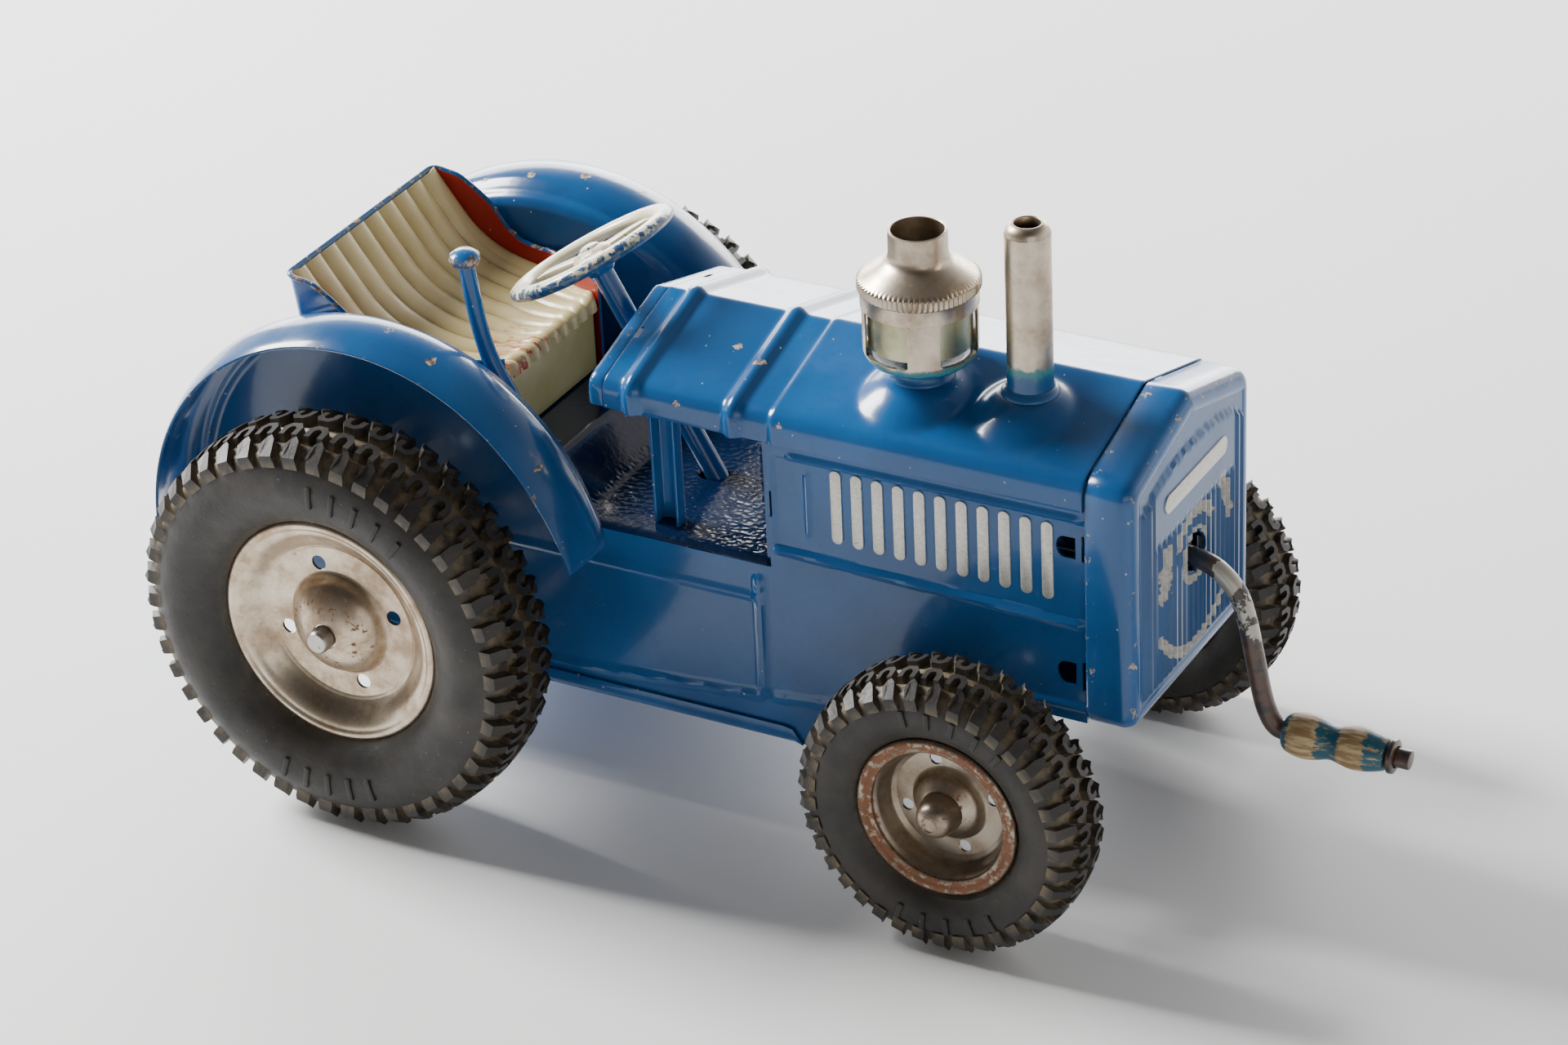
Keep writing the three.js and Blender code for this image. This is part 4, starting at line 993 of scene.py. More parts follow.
def rear_wall():
    """The closing panel behind the seat, with a pressed border."""
    half, bottom, top = SIDE_Y - 1.0, BODY_LOW + 1.2, DECK_Z - 0.9

    def point(y, z):
        inside = min(half - abs(y), z - bottom, top - z)
        return BODY_REAR + 0.4 - 0.5 * min(max((inside - 2.2) / 1.2, 0), 1), y, z

    wall = grid("rear_wall", steps(-half, half, 0.8), steps(bottom, top, 0.8), point,
                wear=lambda y, z: 0.3 if half - abs(y) < 0.9 else 0.05)
    return thicken(recalculated(wall), TIN, 0.08, 0)


# ---------------------------------------------------------------- mudguards
def mudguard(name, sign):
    """A flat inner wall, a small step and a crowned arch that flares at its front tip."""
    cx, cz = -1.2, 37.8
    arch = smooth_path([(35.2, 22.4), (35.9, 22.5), (36.9, 23.1), (37.5, 24.2), (38.1, 24.9), (39.0, 26.3),
                        (39.45, 28.6), (39.35, 31.0), (38.8, 33.2), (38.2, 34.9), (37.7, 35.8)], 3)
    wall_rows = 8

    def point(angle, k):
        flare = max((30 - angle) / 18, 0)
        rad = math.radians(angle)
        chord = (SILL_Z + 0.2 - cz) / max(math.sin(rad), 0.05)
        if k < wall_rows:
            start = min(max(chord, 3.0), arch[0][0]) if angle < 168 else arch[0][0] - 2.5
            r, y = start + (arch[0][0] - start) * k / wall_rows, arch[0][1] - 0.1
        else:
            r, y = arch[k - wall_rows]
            r += flare * 1.5 * max((y - 30) / 6, 0) ** 1.5
            y += flare * 0.5 * max((y - 30) / 6, 0)
        return cx + r * math.cos(rad), sign * y, cz + r * math.sin(rad)

    angles = steps(12.8, 180, 1.4)
    count = wall_rows + len(arch)
    chips = [(96, 6), (83, 9), (108, 4), (120, 5), (70, 12), (36, 13)]

    def wear(angle, k):
        spot = max(bump(angle - a, 2.4) * bump(k - wall_rows - 10 - c, 3) for a, c in chips)
        edge = 0.55 if k > count - 4 else 0.0
        end = 0.5 if angle < 15 or angle > 178 else 0.0
        crest = 0.22 * bump(k - wall_rows - 18, 7)
        return max(edge, end, crest, 1.1 * spot)

    guard = grid(name, angles, list(range(count)), point, wear=wear)
    return thicken(recalculated(guard), TIN, 0.14, 0)


# ---------------------------------------------------------------- seat
def seat_half(x, inset=0.0):
    """Half the seat's width at x: full behind, drawn in towards the front."""
    return level(x, [(1.0, 21.3), (14.1, 14.4)]) - inset


def seat_tub():
    """Blue outside and red inside, with arms that sweep down from the back."""
    rim = [(-20.2, 78.2), (-15.4, 77.4), (-12.8, 75.7), (-10.4, 73.9), (-8.8, 72.2), (-7.0, 69.8),
           (-4.4, 67.9), (-1.2, 67.1), (14.1, 67.1)]
    base = DECK_Z + 0.3
    plan = finer(rounded([(14.0, -14.4), (1.0, -21.2), (-20.2, -21.2), (-20.2, 21.2), (1.0, 21.2),
                          (14.0, 14.4)], [5.0, 1.8, 1.8, 5.0], 7), 0.9)

    def point(k, t):
        x, y = plan[k]
        z = base + t * (level(x, rim) - base)
        lean = (78.2 - z) / (78.2 - base) * 3.6 * min(max((-x - 6) / 14, 0), 1)
        return x + lean, y, z

    def wear(k, t):
        return 0.75 if t > 0.97 else (0.3 if t > 0.9 else 0.05)

    tub = grid("seat_tub", list(range(len(plan))), lines(1 / 24, 0, 0.96, 1), point, wear=wear)
    recalculated(tub)
    work = bmesh.new()
    work.from_mesh(tub.data)
    away = sum(f.normal.x * (f.calc_center_median().x - (AXLE_X * MM)) +
               f.normal.y * f.calc_center_median().y for f in work.faces)
    if away < 0:
        bmesh.ops.reverse_faces(work, faces=work.faces)
    work.to_mesh(tub.data)
    work.free()
    tub.data.materials.append(BLUE)
    tub.data.materials.append(RED)
    thicken(tub, 0.5, 0.12, -1, inner_slot=1)
    for face in tub.data.polygons:  # only the arms are red inside
        if abs(face.normal.x) > 0.7:
            face.material_index = 0
    edge = [point(k, 1.0) for k in range(len(plan))]
    roll = tube("seat_tub_roll", [(x, y, z - 0.05) for x, y, z in edge], 0.42, 10, wear=lambda s: 0.75)
    return tub, roll


def seat_cushion():
    """One cream pressing: a pleated back that curves into a pleated seat, with a rolled front."""
    line = smooth_path([(-19.6, 77.9), (-17.6, 75.2), (-15.0, 71.8), (-12.6, 68.9), (-9.6, 66.5),
                        (-6.0, 64.8), (-2.2, 63.8), (2.0, 63.3), (6.0, 63.2), (9.6, 63.6), (11.6, 64.1), (12.7, 63.7),
                        (13.05, 62.4)], 7)
    normals = outward([(x, z) for x, z in line])
    pleats = 10
    count = len(line)

    def depth(k):
        share = k / (count - 1)
        return 0.95 - 0.45 * bump(share - 0.42, 0.3)

    def point(k, s):
        x, z = line[k]
        half = seat_half(x, 0.6)
        lobe = math.sqrt(max(1 - (2 * ((s + 1) / 2 * pleats % 1) - 1) ** 2, 0))
        (nx, nz) = normals[k]
        lift = 1.15 * depth(k) * (lobe - 0.6)
        side = 0.9 * max(abs(s) - 0.9, 0) / 0.1
        return x + nx * lift, s * half, z + nz * (lift + side)

    # how much brown the cream gets, dirt together with painted shade: most in the pleat grooves, some at the rolled
    # front and the top of the back
    def wear(k, s):
        place = (s + 1) / 2 * pleats % 1
        in_groove = bump(min(place, 1 - place), 0.22)
        front = 0.6 * bump(k / (count - 1) - 0.97, 0.12)
        return max(0.9 * in_groove, front, 0.5 * bump(k / (count - 1), 0.06))

    cushion = grid("seat_cushion", list(range(count)), steps(-1, 1, 1 / 90), point, wear=wear)
    return thicken(recalculated(cushion), 0.5, 0, 0)


def seat_box():
    """The cream front of the seat, its two ends turned back a little."""
    half, bottom, top = 13.7, DECK_Z + 0.4, 62.9

    def point(y, z):
        turn = max(abs(y) - half + 1.0, 0)
        return 13.0 - 0.8 * turn ** 2, y, z

    box = grid("seat_box", steps(-half, half, 0.5), steps(bottom, top, 1.2), point,
               wear=lambda y, z: 0.4 if top - z < 1 else 0.05)
    return thicken(recalculated(box), TIN, 0.1, 0)


# ---------------------------------------------------------------- steering and lever
LEAN = math.atan2(0.5, 0.86)
HUB = Vector((21.9, 0, 80.4))
TO_COLUMN = Matrix.Rotation(-LEAN, 3, "Y")


def tilted(x, y, z):
    """A point drawn about an upright column, leaned back with it."""
    return tuple(HUB + TO_COLUMN @ Vector((x, y, z)))


def steering_wheel():
    ring_r, thick = 12.45, 1.72
    hoop_points = []
    around, across = 96, 18
    wear = []
    for i in range(around):
        a = 2 * math.pi * i / around
        for k in range(across):
            b = 2 * math.pi * k / across
            r = ring_r + thick * math.cos(b)
            hoop_points.append(tilted(r * math.cos(a), r * math.sin(a), 1.15 * math.sin(b)))
            wear.append(0.62 * max(math.cos(b), -0.2) + 0.75 * max(-math.sin(b), 0))
    faces = []
    for i in range(around):
        for k in range(across):
            here, onward = i * across, (i + 1) % around * across
            beside = (k + 1) % across
            faces.append((here + k, onward + k, onward + beside, here + beside))
    hoop = settle(recalculated(build("hoop", hoop_points, faces, wear)))
    spokes = []
    for turn in (60, 180, 300):
        a = math.radians(turn)

        def place(u, v, h, a=a):
            arch = 0.35 * (1 - (v / 2.6) ** 2)
            return tilted(u * math.cos(a) - v * math.sin(a), u * math.sin(a) + v * math.cos(a),
                          -0.75 + h + arch * (h > 0) - 0.02 * u)

        edge = [(1.0, 2.3), (4.0, 1.9), (7.0, 1.5), (9.5, 1.6), (11.6, 2.4)]
        outline = [(u, v) for u, v in edge] + [(u, -v) for u, v in reversed(edge)]
        spokes.append(prism("spoke", outline, 0.8, place, 0.2))
    dome = [(3.3, -1.3), (3.5, -0.6), (3.2, 0.1), (2.5, 0.55), (1.7, 0.8), (1.5, 1.15), (0.8, 1.4), (0, 1.45)]
    around = 36
    points = [tilted(r * math.cos(2 * math.pi * i / around), r * math.sin(2 * math.pi * i / around), h)
              for i in range(around) for r, h in dome]
    width = len(dome)
    faces = []
    for i in range(around):
        here, onward = i * width, (i + 1) % around * width
        faces += [(here + k, onward + k, onward + k + 1, here + k + 1) for k in range(width - 1)]
    hub = settle(recalculated(build("hub", points, faces, [0.25] * len(points))))
    return joined("steering_wheel", [hoop, *spokes, hub])


def steering_column():
    foot = (HUB.z - SILL_Z + 4.4) / math.cos(LEAN)
    column = tube("steering_column", [tilted(0, 0, -h) for h in steps(1.4, foot, 1.5)], 1.72, 24,
                  wear=lambda s: 0.2 + 1.1 * max(s - 0.86, 0) / 0.14)
    collar = tube("column_collar", [tilted(0, 0, -h) for h in (1.2, 1.5, 2.8, 3.4)],
                  lambda s: 2.9 - 0.8 * s * s, 28, wear=lambda s: 0.5)
    return joined("steering_column", [column, collar])


LEVER_Y = -18


def lever():
    """The start and stop lever: a bent bar with a mushroom knob."""
    bends = [(22.5, 41.2), (22.5, 45.2), (21.8, 50), (19.6, 57.5), (17.2, 62.8), (13.9, 69), (12.2, 75),
             (11.0, 83.4), (10.85, 84.6)]
    path = smooth_path([(x, LEVER_Y, z) for x, z in bends], 6)
    bar = tube("lever_bar", path, lambda s: 1.5 - 0.25 * s, 20, wear=lambda s: 0.3 + 0.4 * (s > 0.9))
    cap = [(0, -1.2), (1.2, -1.2), (2.0, -0.7), (2.4, 0.1), (2.25, 0.9), (1.5, 1.5), (0, 1.75)]
    knob = turned("lever_knob", cap, (10.7, LEVER_Y, 85.2), "z", 40, wear=lambda r, h: 0.8 + 0.2 * (r > 1.8))
    return joined("start_stop_lever", [bar, knob])


# ---------------------------------------------------------------- exhaust and air filter
def exhaust():
    middle = centre("exhaust_pipe")
    profile = [(4.3, -0.6), (4.35, 0.1), (4.0, 0.6), (3.55, 1.0), (3.42, 2.0), (3.38, 12), (3.4, 24.0),
               (3.38, 25.2), (3.1, 26.1), (2.6, 26.7), (2.15, 26.9), (1.95, 26.6), (1.95, 25.4),
               (3.0, 24.4), (3.0, 4), (0, 4)]
    place = (middle.x - AXLE_X, middle.y, EXHAUST_BASE)
    return turned("exhaust_pipe", smooth_path(profile, 4), place, "z", 64,
                  wear=lambda r, h: 0.25 if h > 24 else 0.1)


def filter_parts():
    middle = centre("filter_bowl")
    place = (middle.x - AXLE_X, middle.y, FILTER_BASE)
    bowl_line = [(5.0, -0.7), (5.05, 0.1), (4.75, 0.6), (4.6, 1.3), (5.1, 1.8), (6.5, 2.3), (7.9, 3.2),
                 (8.4, 4.2), (8.5, 5.2), (8.5, 9.0), (8.5, 13.6), (8.1, 13.6), (8.1, 6.0), (7.6, 4.2),
                 (6.2, 3.1), (0, 2.7)]
    bowl = turned("filter_bowl", smooth_path(bowl_line, 3), place, "z", 96)
    cutters = []
    for quarter in range(4):
        a = math.radians(-15 + 90 * quarter)

        def placed(u, v, h, a=a):
            r = 5.5 + h
            x, y = r * math.cos(a) - u * math.sin(a), r * math.sin(a) + u * math.cos(a)
            return place[0] + x, place[1] + y, place[2] + v

        corners = [(0, 4.6), (4.1, 4.6), (4.1, 11.6), (-4.1, 11.6), (-4.1, 4.6), (0, 4.6)]
        outline = rounded(corners, [0.5] * 4, 4)[:-1]
        cutters.append(prism("cutter", outline, 5, placed, 0))
    bowl = drilled(bowl, *cutters)
    sleeve_line = [(7.7, 5.5), (7.7, 13.4), (7.3, 13.4), (7.3, 5.5), (7.7, 5.5)]
    sleeve = turned("filter_sleeve", sleeve_line, place, "z", 64)
    skirt = [(8.55, 11.6), (8.7, 11.7), (8.72, 12.0), (8.72, 14.0), (8.78, 14.15)]
    knurl = [(8.88, 14.3), (8.95, 14.6), (8.95, 15.5), (8.85, 15.8)]
    crown = [(8.6, 16.05), (8.1, 16.4), (7.2, 17.0), (6.2, 17.65), (5.3, 18.2), (4.75, 18.7),
             (4.48, 19.3), (4.4, 20.0), (4.38, 23.2), (4.1, 23.3), (3.95, 23.2), (3.95, 18), (3.95, 14)]
    first, last = len(skirt), len(skirt) + len(knurl) - 1
    cap = turned("filter_cap", skirt + knurl + crown, place, "z", 280,
                 swell=lambda a, k: 0.16 * math.cos(70 * a) if first <= k <= last else 0.0)
    return bowl, sleeve, cap


# ---------------------------------------------------------------- wheels
def tyre_section(w):
    """Half of the tyre's section as (radius, offset), from the rim's bead over the shoulder."""
    base = w["radius"] - w["lug"]
    mid, reach = (w["lip"] + base) / 2 + 0.35, (base - w["lip"]) / 2 + 1.3
    wall = [(r, w["half"] * math.sqrt(max(1 - ((r - mid) / reach) ** 2, 0)))
            for r in steps(w["lip"] - 1.2, base - 0.9, 0.9)]
    shoulder = wall[-1][1]
    crown = [(base - 0.9 * (t * t) ** 1.2, shoulder * t) for t in (0.92, 0.8, 0.6, 0.4, 0.2, 0.06)]
    return wall, shoulder, crown


def tread_point(w, shoulder, s, t, h, middle, sign):
    """A point on the tread: s along it in mm, t across it from the middle, h above the carcass."""
    base = w["radius"] - w["lug"]
    share = min(abs(t) / shoulder, 1.25)
    over_edge = 1.6 * (share - 1) / 0.25 if share > 1 else 0
    r = base - 0.9 * (share * share) ** 1.2 - over_edge + h * (1 if share < 0.9 else 0.93)
    out = 0.35 * h * (share > 0.9)
    angle = s / base
    return (middle[0] + r * math.cos(angle), middle[1] + sign * (t + math.copysign(out, t)),
            middle[2] + r * math.sin(angle))


def tyre(place, side):
    w = WHEELS[place]
    sign = 1 if side == "left" else -1
    axle = centre(f"{place}_tyre_{side}")
    middle = (axle.x - AXLE_X, axle.y, axle.z)
    wall, shoulder, crown = tyre_section(w)
    half_line = [(w["lip"] - 2.6, 1.5), (w["lip"] - 2.4, wall[0][1] - 0.8), *wall, *crown]
    line = half_line + [(w["radius"] - w["lug"] + 0.28, 0.0)] + [(r, -o) for r, o in reversed(half_line)]
    base = w["radius"] - w["lug"]

    def dirt(r, h):
        return min(max((r - base + 2.4) / 1.6, 0), 1) * 0.9 + 0.25 * (r < w["lip"] + 1)

    carcass = turned("carcass", line, middle, "y", 180, wear=dirt)
    parts = [carcass]
    pitch = 2 * math.pi * base / w["lugs"]
    k = pitch / 4.5
    width = shoulder / 6.7
    triangle = [(-1.45, 8.1), (1.35, 8.1), (1.5, 6.3), (0.9, 5.0), (0.2, 4.35), (-0.95, 5.6)]
    horseshoe = [(-1.75, 4.3), (-1.75, 2.0), (-0.9, 0.75), (0.9, 0.75), (1.75, 2.0), (1.75, 4.3),
                 (0.75, 4.3), (0.75, 2.5), (0.25, 1.9), (-0.25, 1.9), (-0.75, 2.5), (-0.75, 4.3)]
    for across in (1, -1):
        for i in range(w["lugs"]):
            for outline, shift, height in ((triangle, 0.0, w["lug"]), (horseshoe, 0.5, w["lug"] * 0.95)):
                start = (i + shift + (0.25 if across < 0 else 0)) * pitch
                shape = [(start + u * k, across * v * width) for u, v in outline]

                def place_lug(u, v, h):
                    return tread_point(w, shoulder, u, v, h - 0.15, middle, sign)

                parts.append(lug(shape, height + 0.15, place_lug, 0.80 if shift == 0 else 0.93))
    for group, bars in ((0.9, 5), (-1.9, 5)):
        for i in range(bars):
            angle = group + 0.155 * i * 26 / (w["radius"] * 0.78)
            parts.append(wall_bar(w, middle, sign, angle, i))
    return joined(f"{place}_tyre_{side}", parts)


def lug(outline, height, place, taper):
    """One tread block: tapered, with dirt at its foot and a rubbed top."""
    n = len(outline)
    middle = [sum(p[q] for p in outline) / n for q in (0, 1)]
    rings = ((1.0, 0.0, 1.0), (1.0 - (1 - taper) * 0.4, 0.72 * height, 0.2), (taper, height, 0.0))
    points, wear = [], []
    for scale, h, dirt in rings:
        points += [place(*(m + (p - m) * scale for p, m in zip(point, middle)), h) for point in outline]
        wear += [dirt] * n
    faces = [tuple(range(2 * n, 3 * n))]
    faces += [(r * n + i, r * n + (i + 1) % n, (r + 1) * n + (i + 1) % n, (r + 1) * n + i)
              for r in (0, 1) for i in range(n)]
    return settle(recalculated(build("lug", points, faces, wear)), 50)


def wall_bar(w, middle, sign, angle, i):
    """A short raised bar on the outer wall, where the real tyre is lettered."""
    base = w["radius"] - w["lug"]
    mid, reach = (w["lip"] + base) / 2 + 0.35, (base - w["lip"]) / 2 + 1.3
    r_mid = w["lip"] + 0.52 * (base - w["lip"])
    long, thin = 1.5 * w["radius"] / 33.5 + 0.3, 0.45
    outline = [(-long, -thin), (long, -thin), (long, thin), (-long, thin)]

    def place(u, v, h):
        r = r_mid + u
        offset = w["half"] * math.sqrt(max(1 - ((r - mid) / reach) ** 2, 0)) + h - 0.3
        a = angle + v / r
        return middle[0] + r * math.cos(a), middle[1] + sign * offset, middle[2] + r * math.sin(a)

    return prism("bar", outline, 0.8, place, 0.16)


def rim(place, side):
    w = WHEELS[place]
    sign = 1 if side == "left" else -1
    axle = centre(f"{place}_rim_{side}")
    wheel = centre(f"{place}_tyre_{side}")
    middle = (wheel.x - AXLE_X, wheel.y, axle.z)
    lip, hub, disc, edge = w["lip"], w["hub"], w["disc"], RIM_EDGE
    bore = 2.0 if place == "rear" else 1.5
    shrink = 1.0 if place == "rear" else 0.68
    dome = 4.8 * shrink
    ring = (hub + 0.35, lip - 5.6 * shrink)
    lip_line = [(lip - 2.4, 0.0), (lip - 2.2, edge - 1.6), (lip - 0.9, edge - 0.5), (lip - 0.1, edge - 0.1),
                (lip + 0.1, edge + 0.25), (lip - 0.15, edge + 0.6), (lip - 0.6, edge + 0.65),
                (lip - 1.1, edge + 0.35), (lip - 1.7, edge + 0.15), (lip - 2.5 * shrink, edge - 0.35),
                (lip - 3.4 * shrink, edge - 1.2), (lip - 4.2 * shrink, disc + 0.9),
                (lip - 4.9 * shrink, disc + 0.35), (lip - 5.2 * shrink, disc + 0.2), (ring[1], disc)]
    dome_line = [(ring[0], disc), (hub - 0.1, disc + 0.25), (hub - 0.6, disc + 0.9),
                 (hub * 0.84, disc + dome * 0.46), (hub * 0.62, disc + dome * 0.74),
                 (bore + 1.0, disc + dome * 0.94), (bore + 0.05, disc + dome)]

    def wear(r, h):
        worst, at = (0.85, 0.9) if place == "front" else (0.25, 1.4)
        return max(worst * bump(r - lip + at, 2.0), 0.5 * bump(r - hub * 0.6, hub * 0.5), 0.2)

    def sheet(name, line):
        half = turned(name, [(r, sign * h) for r, h in smooth_path(line, 3)], middle, "y", 96, wear=wear)
        return thicken(half, TIN, 0, 0)

    pressed = [sheet("rim_lip", lip_line), sheet("rim_dome", dome_line)]
    flat = [(r, sign * (disc + h)) for r, h in ((ring[0], -TIN / 2), (ring[1], -TIN / 2), (ring[1], TIN / 2),
                                                (ring[0], TIN / 2), (ring[0], -TIN / 2))]
    holes = []
    for i in range(4):
        a = math.pi / 2 * i + 0.3
        x, z = middle[0] + w["holes"] * math.cos(a), middle[2] + w["holes"] * math.sin(a)
        holes.append(rod(1.25 if place == "rear" else 1.0, (x, middle[1] - 9, z), (x, middle[1] + 9, z), 20))
    pressed.append(drilled(turned("rim_ring", flat, middle, "y", 96, wear=wear), *holes))
    inner = [(lip - 2.4, 0.0), (lip - 2.2, 1.4 - edge), (lip - 0.9, 0.5 - edge), (lip, -edge),
             (lip + 0.1, -edge - 0.4), (lip - 0.5, -edge - 0.6), (lip - 1.0, -edge - 0.2),
             (lip - 2.6, 1.4 - edge), (lip - 2.8, 0.0)]
    back = turned("rim_back", [(r, sign * h) for r, h in smooth_path(inner, 3)], middle, "y", 96,
                  wear=lambda r, h: 0.4)
    return joined(f"{place}_rim_{side}", [*pressed, back])


def hub_cap(side):
    sign = 1 if side == "left" else -1
    at = centre(f"hub_cap_{side}")
    disc = WHEELS["front"]["disc"] + centre(f"front_tyre_{side}").y * sign
    line = [(3.3, disc + 2.3), (3.25, disc + 3.4), (3.0, disc + 5.2), (2.4, disc + 6.5), (1.5, disc + 7.1),
            (1.3, disc + 7.15), (1.0, disc + 6.95), (0.0, disc + 6.9)]
    return turned(f"hub_cap_{side}", [(r, sign * h) for r, h in smooth_path(line, 3)],
                  (at.x - AXLE_X, 0, at.z), "y", 48, wear=lambda r, h: 0.4)


def rear_axle():
    end = high("rear_axle").y
    line = [(0, -end), (1.55, -end), (1.85, -end + 0.35), (1.9, -end + 1)]
    line += [(r, -y) for r, y in reversed(line)]
    return turned("rear_axle", line, (0, 0, centre("rear_axle").z), "y", 32,
                  wear=lambda r, h: 0.3)


# ---------------------------------------------------------------- crank
def crank_rod():
    bends = [(64, CRANK_Z), (90, CRANK_Z), (118, CRANK_Z), (122, CRANK_Z - 0.1), (125.6, 49.2), (128.6, 46.2),
             (130.2, 42), (131.6, 35.4), (132.8, 29.6), (133.8, 26.6), (135, 24.8), (136.6, 24.25),
             (138.6, GRIP_Z), (146, GRIP_Z), (153, GRIP_Z)]
    bar = tube("crank_bar", smooth_path([(x, 0, z) for x, z in bends], 7), 1.52, 24)
    stub = tube("crank_stub", [(x, 0, GRIP_Z) for x in (152.8, 153.6, 156.0, 156.3)], 1.5, 20,
                flat=(1.0, 0.86))
    return joined("crank_rod", [bar, stub])


def crank_grip():
    start = low("crank_grip").x
    line = [(1.7, 0.2), (2.3, 0.3), (2.9, 1.0), (3.3, 2.4), (3.42, 4.0), (3.2, 5.6), (2.75, 7.2),
            (2.7, 8.2), (3.0, 9.6), (3.3, 11.2), (3.25, 12.8), (2.9, 14.6), (2.5, 15.9), (2.2, 16.3),
            (1.7, 16.4)]
    return turned("crank_grip", smooth_path(line, 4), (start - 0.2, 0, GRIP_Z), "x", 64)


def grip_washer():
    start = low("grip_washer").x
    return turned("grip_washer", [(1.7, 0), (2.5, 0), (2.65, 0.2), (2.6, 0.75), (2.2, 0.95), (1.7, 0.95)],
                  (start, 0, GRIP_Z), "x", 40, wear=lambda r, h: 0.5)


# ---------------------------------------------------------------- putting it together
piece(hood_cover(), "body", "blue_enamel", BLUE, "hood_cover")
piece(dash_cap(), "body", "blue_enamel", BLUE, "dash_panel")
piece(radiator_frame(), "body", "blue_enamel", RADIATOR_BLUE, "radiator_shell")
piece(radiator_face(), "body", "blue_enamel", RIBS)
piece(plate_bar(), "body", "blue_enamel", SILVER)
for side_name, side_sign in (("left", 1), ("right", -1)):
    piece(side_panel(f"side_panel_visual_{side_name}", side_sign), "body", "blue_enamel", BLUE,
          f"side_panel_{side_name}")
    piece(louvres(f"louvre_stripes_{side_name}", side_sign), "body", "blue_enamel", SILVER)
    piece(dash_post(f"dash_channel_{side_name}", side_sign), "body", "blue_enamel", BLUE,
          f"dash_post_{side_name}")
    piece(mudguard(f"mudguard_{side_name}", side_sign), "body", "blue_enamel", MUDGUARD,
          f"fender_{side_name}")
    piece(hub_cap(side_name), "front_axle_set", "nickel", RIM_FRONT, f"hub_cap_{side_name}")
    for end_name, wheel_body, tin in (("rear", "rear_axle_set", RIM_TIN),
                                      ("front", f"front_wheel_{side_name}", RIM_FRONT)):
        piece(tyre(end_name, side_name), wheel_body, "rubber", RUBBER, f"{end_name}_tyre_{side_name}")
        piece(rim(end_name, side_name), wheel_body, "nickel", tin, f"{end_name}_rim_{side_name}")
piece(floor_plate(), "body", "dark_enamel", DARK, "floor_plate")
piece(base_tray(), "body", "blue_enamel", BLUE, "base_plate")
piece(rear_wall(), "body", "blue_enamel", BLUE, "rear_panel")
tub, roll = seat_tub()
piece(tub, "body", "blue_enamel", [BLUE, RED], "seat_tub")
piece(roll, "body", "blue_enamel", BLUE)
piece(seat_cushion(), "body", "cream_enamel", CREAM, "seat_cushion")
piece(seat_box(), "body", "cream_enamel", BOX_CREAM, "seat_front")
piece(steering_wheel(), "steering_set", "cream_enamel", STEERING, "steering_wheel")
piece(steering_column(), "steering_set", "blue_enamel", BLUE, "steering_column")
piece(lever(), "start_stop_lever", "blue_enamel", BLUE, "start_stop_lever")
piece(exhaust(), "body", "nickel", NICKEL_PIPE, "exhaust_pipe")
bowl, sleeve, cap = filter_parts()
piece(bowl, "body", "nickel", NICKEL_FILTER, "filter_bowl")
piece(sleeve, "body", "steel", SLEEVE, "filter_sleeve")
piece(cap, "body", "nickel", NICKEL_FILTER, "filter_cap")
piece(rear_axle(), "rear_axle_set", "steel", STEEL, "rear_axle")
piece(crank_rod(), "crank_set", "steel", CRANK, "crank_rod")
piece(crank_grip(), "crank_grip", "grip_wood", WOOD, "crank_grip")
piece(grip_washer(), "crank_set", "steel", CRANK, "grip_washer")

# The CAD nodes that stay in view get their metal or enamel.
FINISHES = {"blue_enamel": BLUE, "dark_enamel": DARK, "cream_enamel": CREAM, "nickel": RIM_FRONT,
            "steel": STEEL, "brass": BRASS, "rubber": RUBBER, "grip_wood": WOOD}
for subpart in frame["record"]["subparts"]:
    node = frame["nodes"][subpart["node"]]
    node.data.materials.clear()
    node.data.materials.append(FINISHES[subpart["material_slot"]])


# ---------------------------------------------------------------- studio
def studio_floor():
    """A pale seamless floor."""
    size = 3.0
    corners = [(-size, -size, 0), (size, -size, 0), (size, size, 0), (-size, size, 0)]
    mesh = bpy.data.meshes.new("studio_floor")
    mesh.from_pydata(corners, [], [(0, 1, 2, 3)])
    floor = bpy.data.objects.new("studio_floor", mesh)
    bpy.context.scene.collection.objects.link(floor)
    p = Paint("studio_floor", 0.45)
    p.colour(p.mix(p.step(p.noise(220, 2), 0.3, 0.7), (0.83, 0.845, 0.87), (0.88, 0.89, 0.90)))
    mesh.materials.append(p.material)


def softbox(name, place, target, width, height, power, colour=(1, 1, 1)):
    lamp = bpy.data.lights.new(name, "AREA")
    lamp.shape = "RECTANGLE"
    lamp.size, lamp.size_y = width, height
    lamp.energy = power
    lamp.color = colour
    obj = bpy.data.objects.new(name, lamp)
    obj.location = place
    obj.rotation_euler = (Vector(target) - Vector(place)).to_track_quat("-Z", "Y").to_euler()
    bpy.context.scene.collection.objects.link(obj)


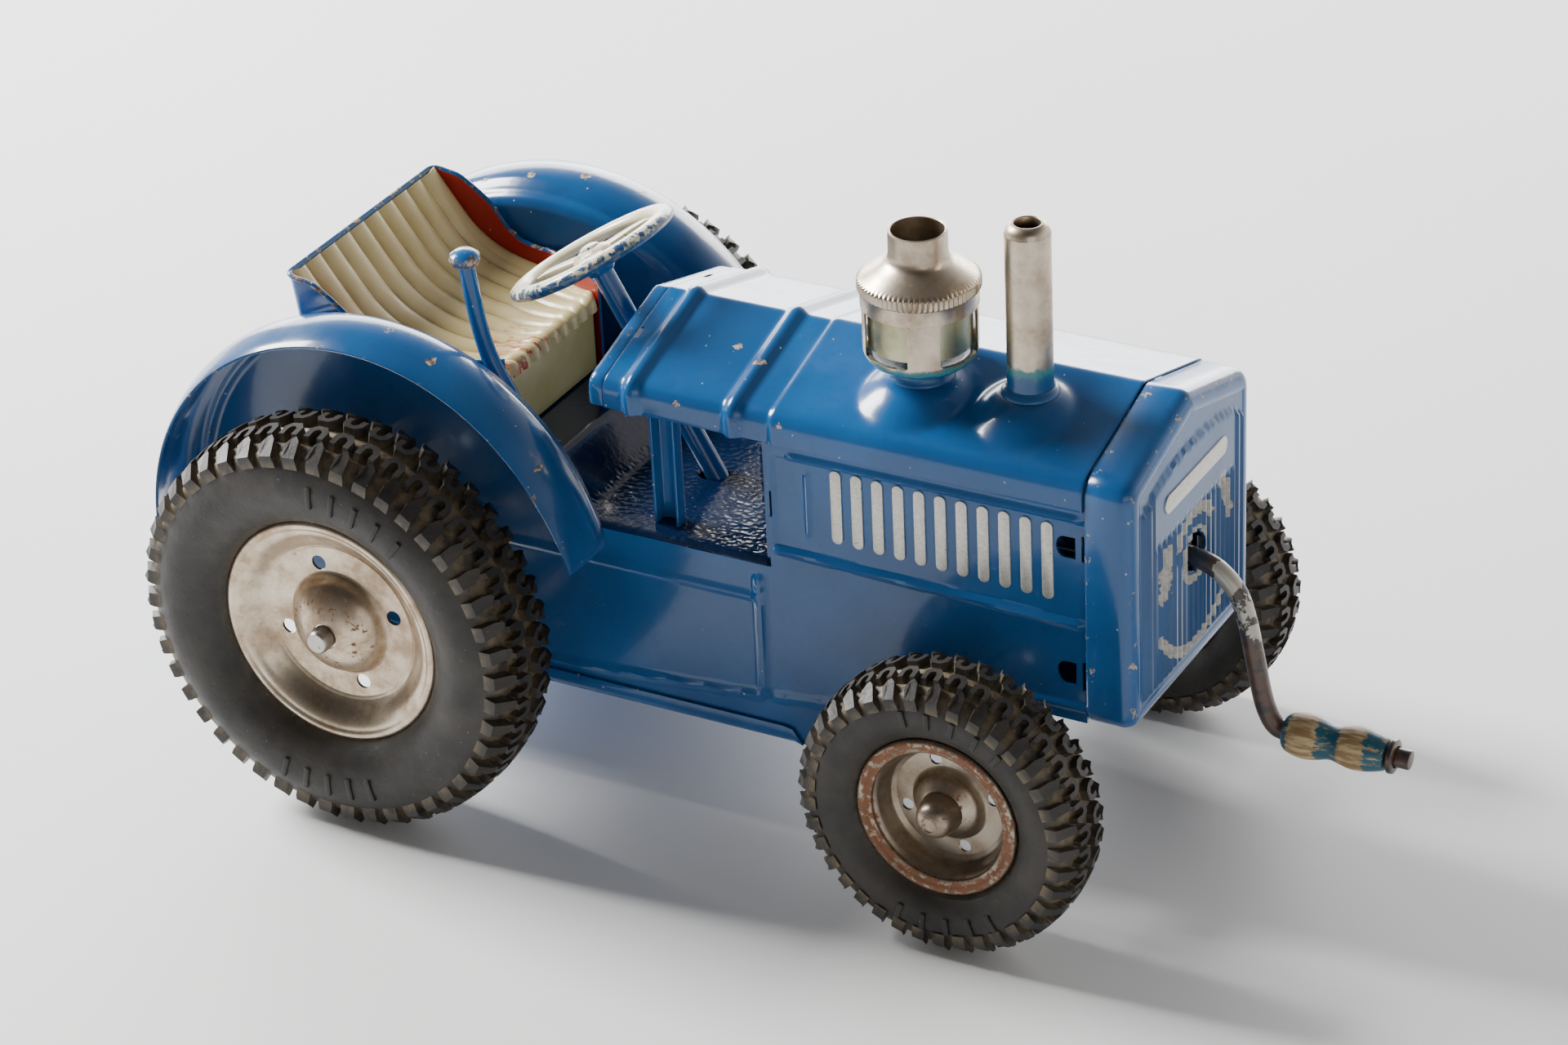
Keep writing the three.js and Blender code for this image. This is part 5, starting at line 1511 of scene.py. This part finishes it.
def sky():
    """A pale surround: bright low behind the tractor, dim overhead and behind the camera."""
    world = bpy.data.worlds.new("studio_surround")
    bpy.context.scene.world = world
    world.use_nodes = True
    tree = world.node_tree
    tree.nodes.clear()
    where = tree.nodes.new("ShaderNodeTexCoord")
    parts = tree.nodes.new("ShaderNodeSeparateXYZ")
    tree.links.new(where.outputs["Generated"], parts.inputs[0])

    def ramp(axis, start, end, first, last):
        made = tree.nodes.new("ShaderNodeMapRange")
        values = (("From Min", start), ("From Max", end), ("To Min", first), ("To Max", last))
        for socket, value in values:
            made.inputs[socket].default_value = value
        tree.links.new(parts.outputs[axis], made.inputs["Value"])
        return made.outputs[0]

    depth = ramp("Y", -0.5, 0.9, 0.28, 2.3)
    height = ramp("Z", 0.1, 0.75, 1.0, 0.16)
    product = tree.nodes.new("ShaderNodeMath")
    product.operation = "MULTIPLY"
    tree.links.new(depth, product.inputs[0])
    tree.links.new(height, product.inputs[1])
    glow = tree.nodes.new("ShaderNodeBackground")
    glow.inputs["Color"].default_value = (1.0, 0.97, 0.93, 1)
    tree.links.new(product.outputs[0], glow.inputs["Strength"])
    out = tree.nodes.new("ShaderNodeOutputWorld")
    tree.links.new(glow.outputs[0], out.inputs[0])


FOCAL_LENGTH, SENSOR_WIDTH = 108.2, 36.0
CAMERA_PLACE = (0.30778, -0.54777, 0.39481)
CAMERA_LOOK = (-0.43187, 0.75727, -0.48993)
CAMERA_ROLL = -2.82  # degrees about the line of sight


def camera():
    """The photograph's long lens from the right front, a little rolled."""
    lens = bpy.data.cameras.new("camera")
    lens.lens = FOCAL_LENGTH
    lens.sensor_width = SENSOR_WIDTH
    lens.clip_start, lens.clip_end = 0.05, 20
    obj = bpy.data.objects.new("camera", lens)
    obj.location = CAMERA_PLACE
    aim = Vector(CAMERA_LOOK).to_track_quat("-Z", "Y").to_matrix()
    obj.rotation_euler = (aim @ Matrix.Rotation(math.radians(CAMERA_ROLL), 3, "Z")).to_euler()
    bpy.context.scene.collection.objects.link(obj)
    bpy.context.scene.camera = obj


studio_floor()
sky()
softbox("key", (-1.15, 0.05, 0.80), (0, 0, 0.05), 0.5, 0.5, 58, (1.0, 0.985, 0.96))
softbox("backdrop", (-0.62, 1.45, 0.30), (0, 0.2, 0.0), 1.8, 0.8, 44, (1.0, 1.0, 1.0))
softbox("fill", (0.9, -0.9, 0.35), (0, 0, 0.04), 0.9, 0.5, 2.0, (1.0, 0.97, 0.93))
camera()
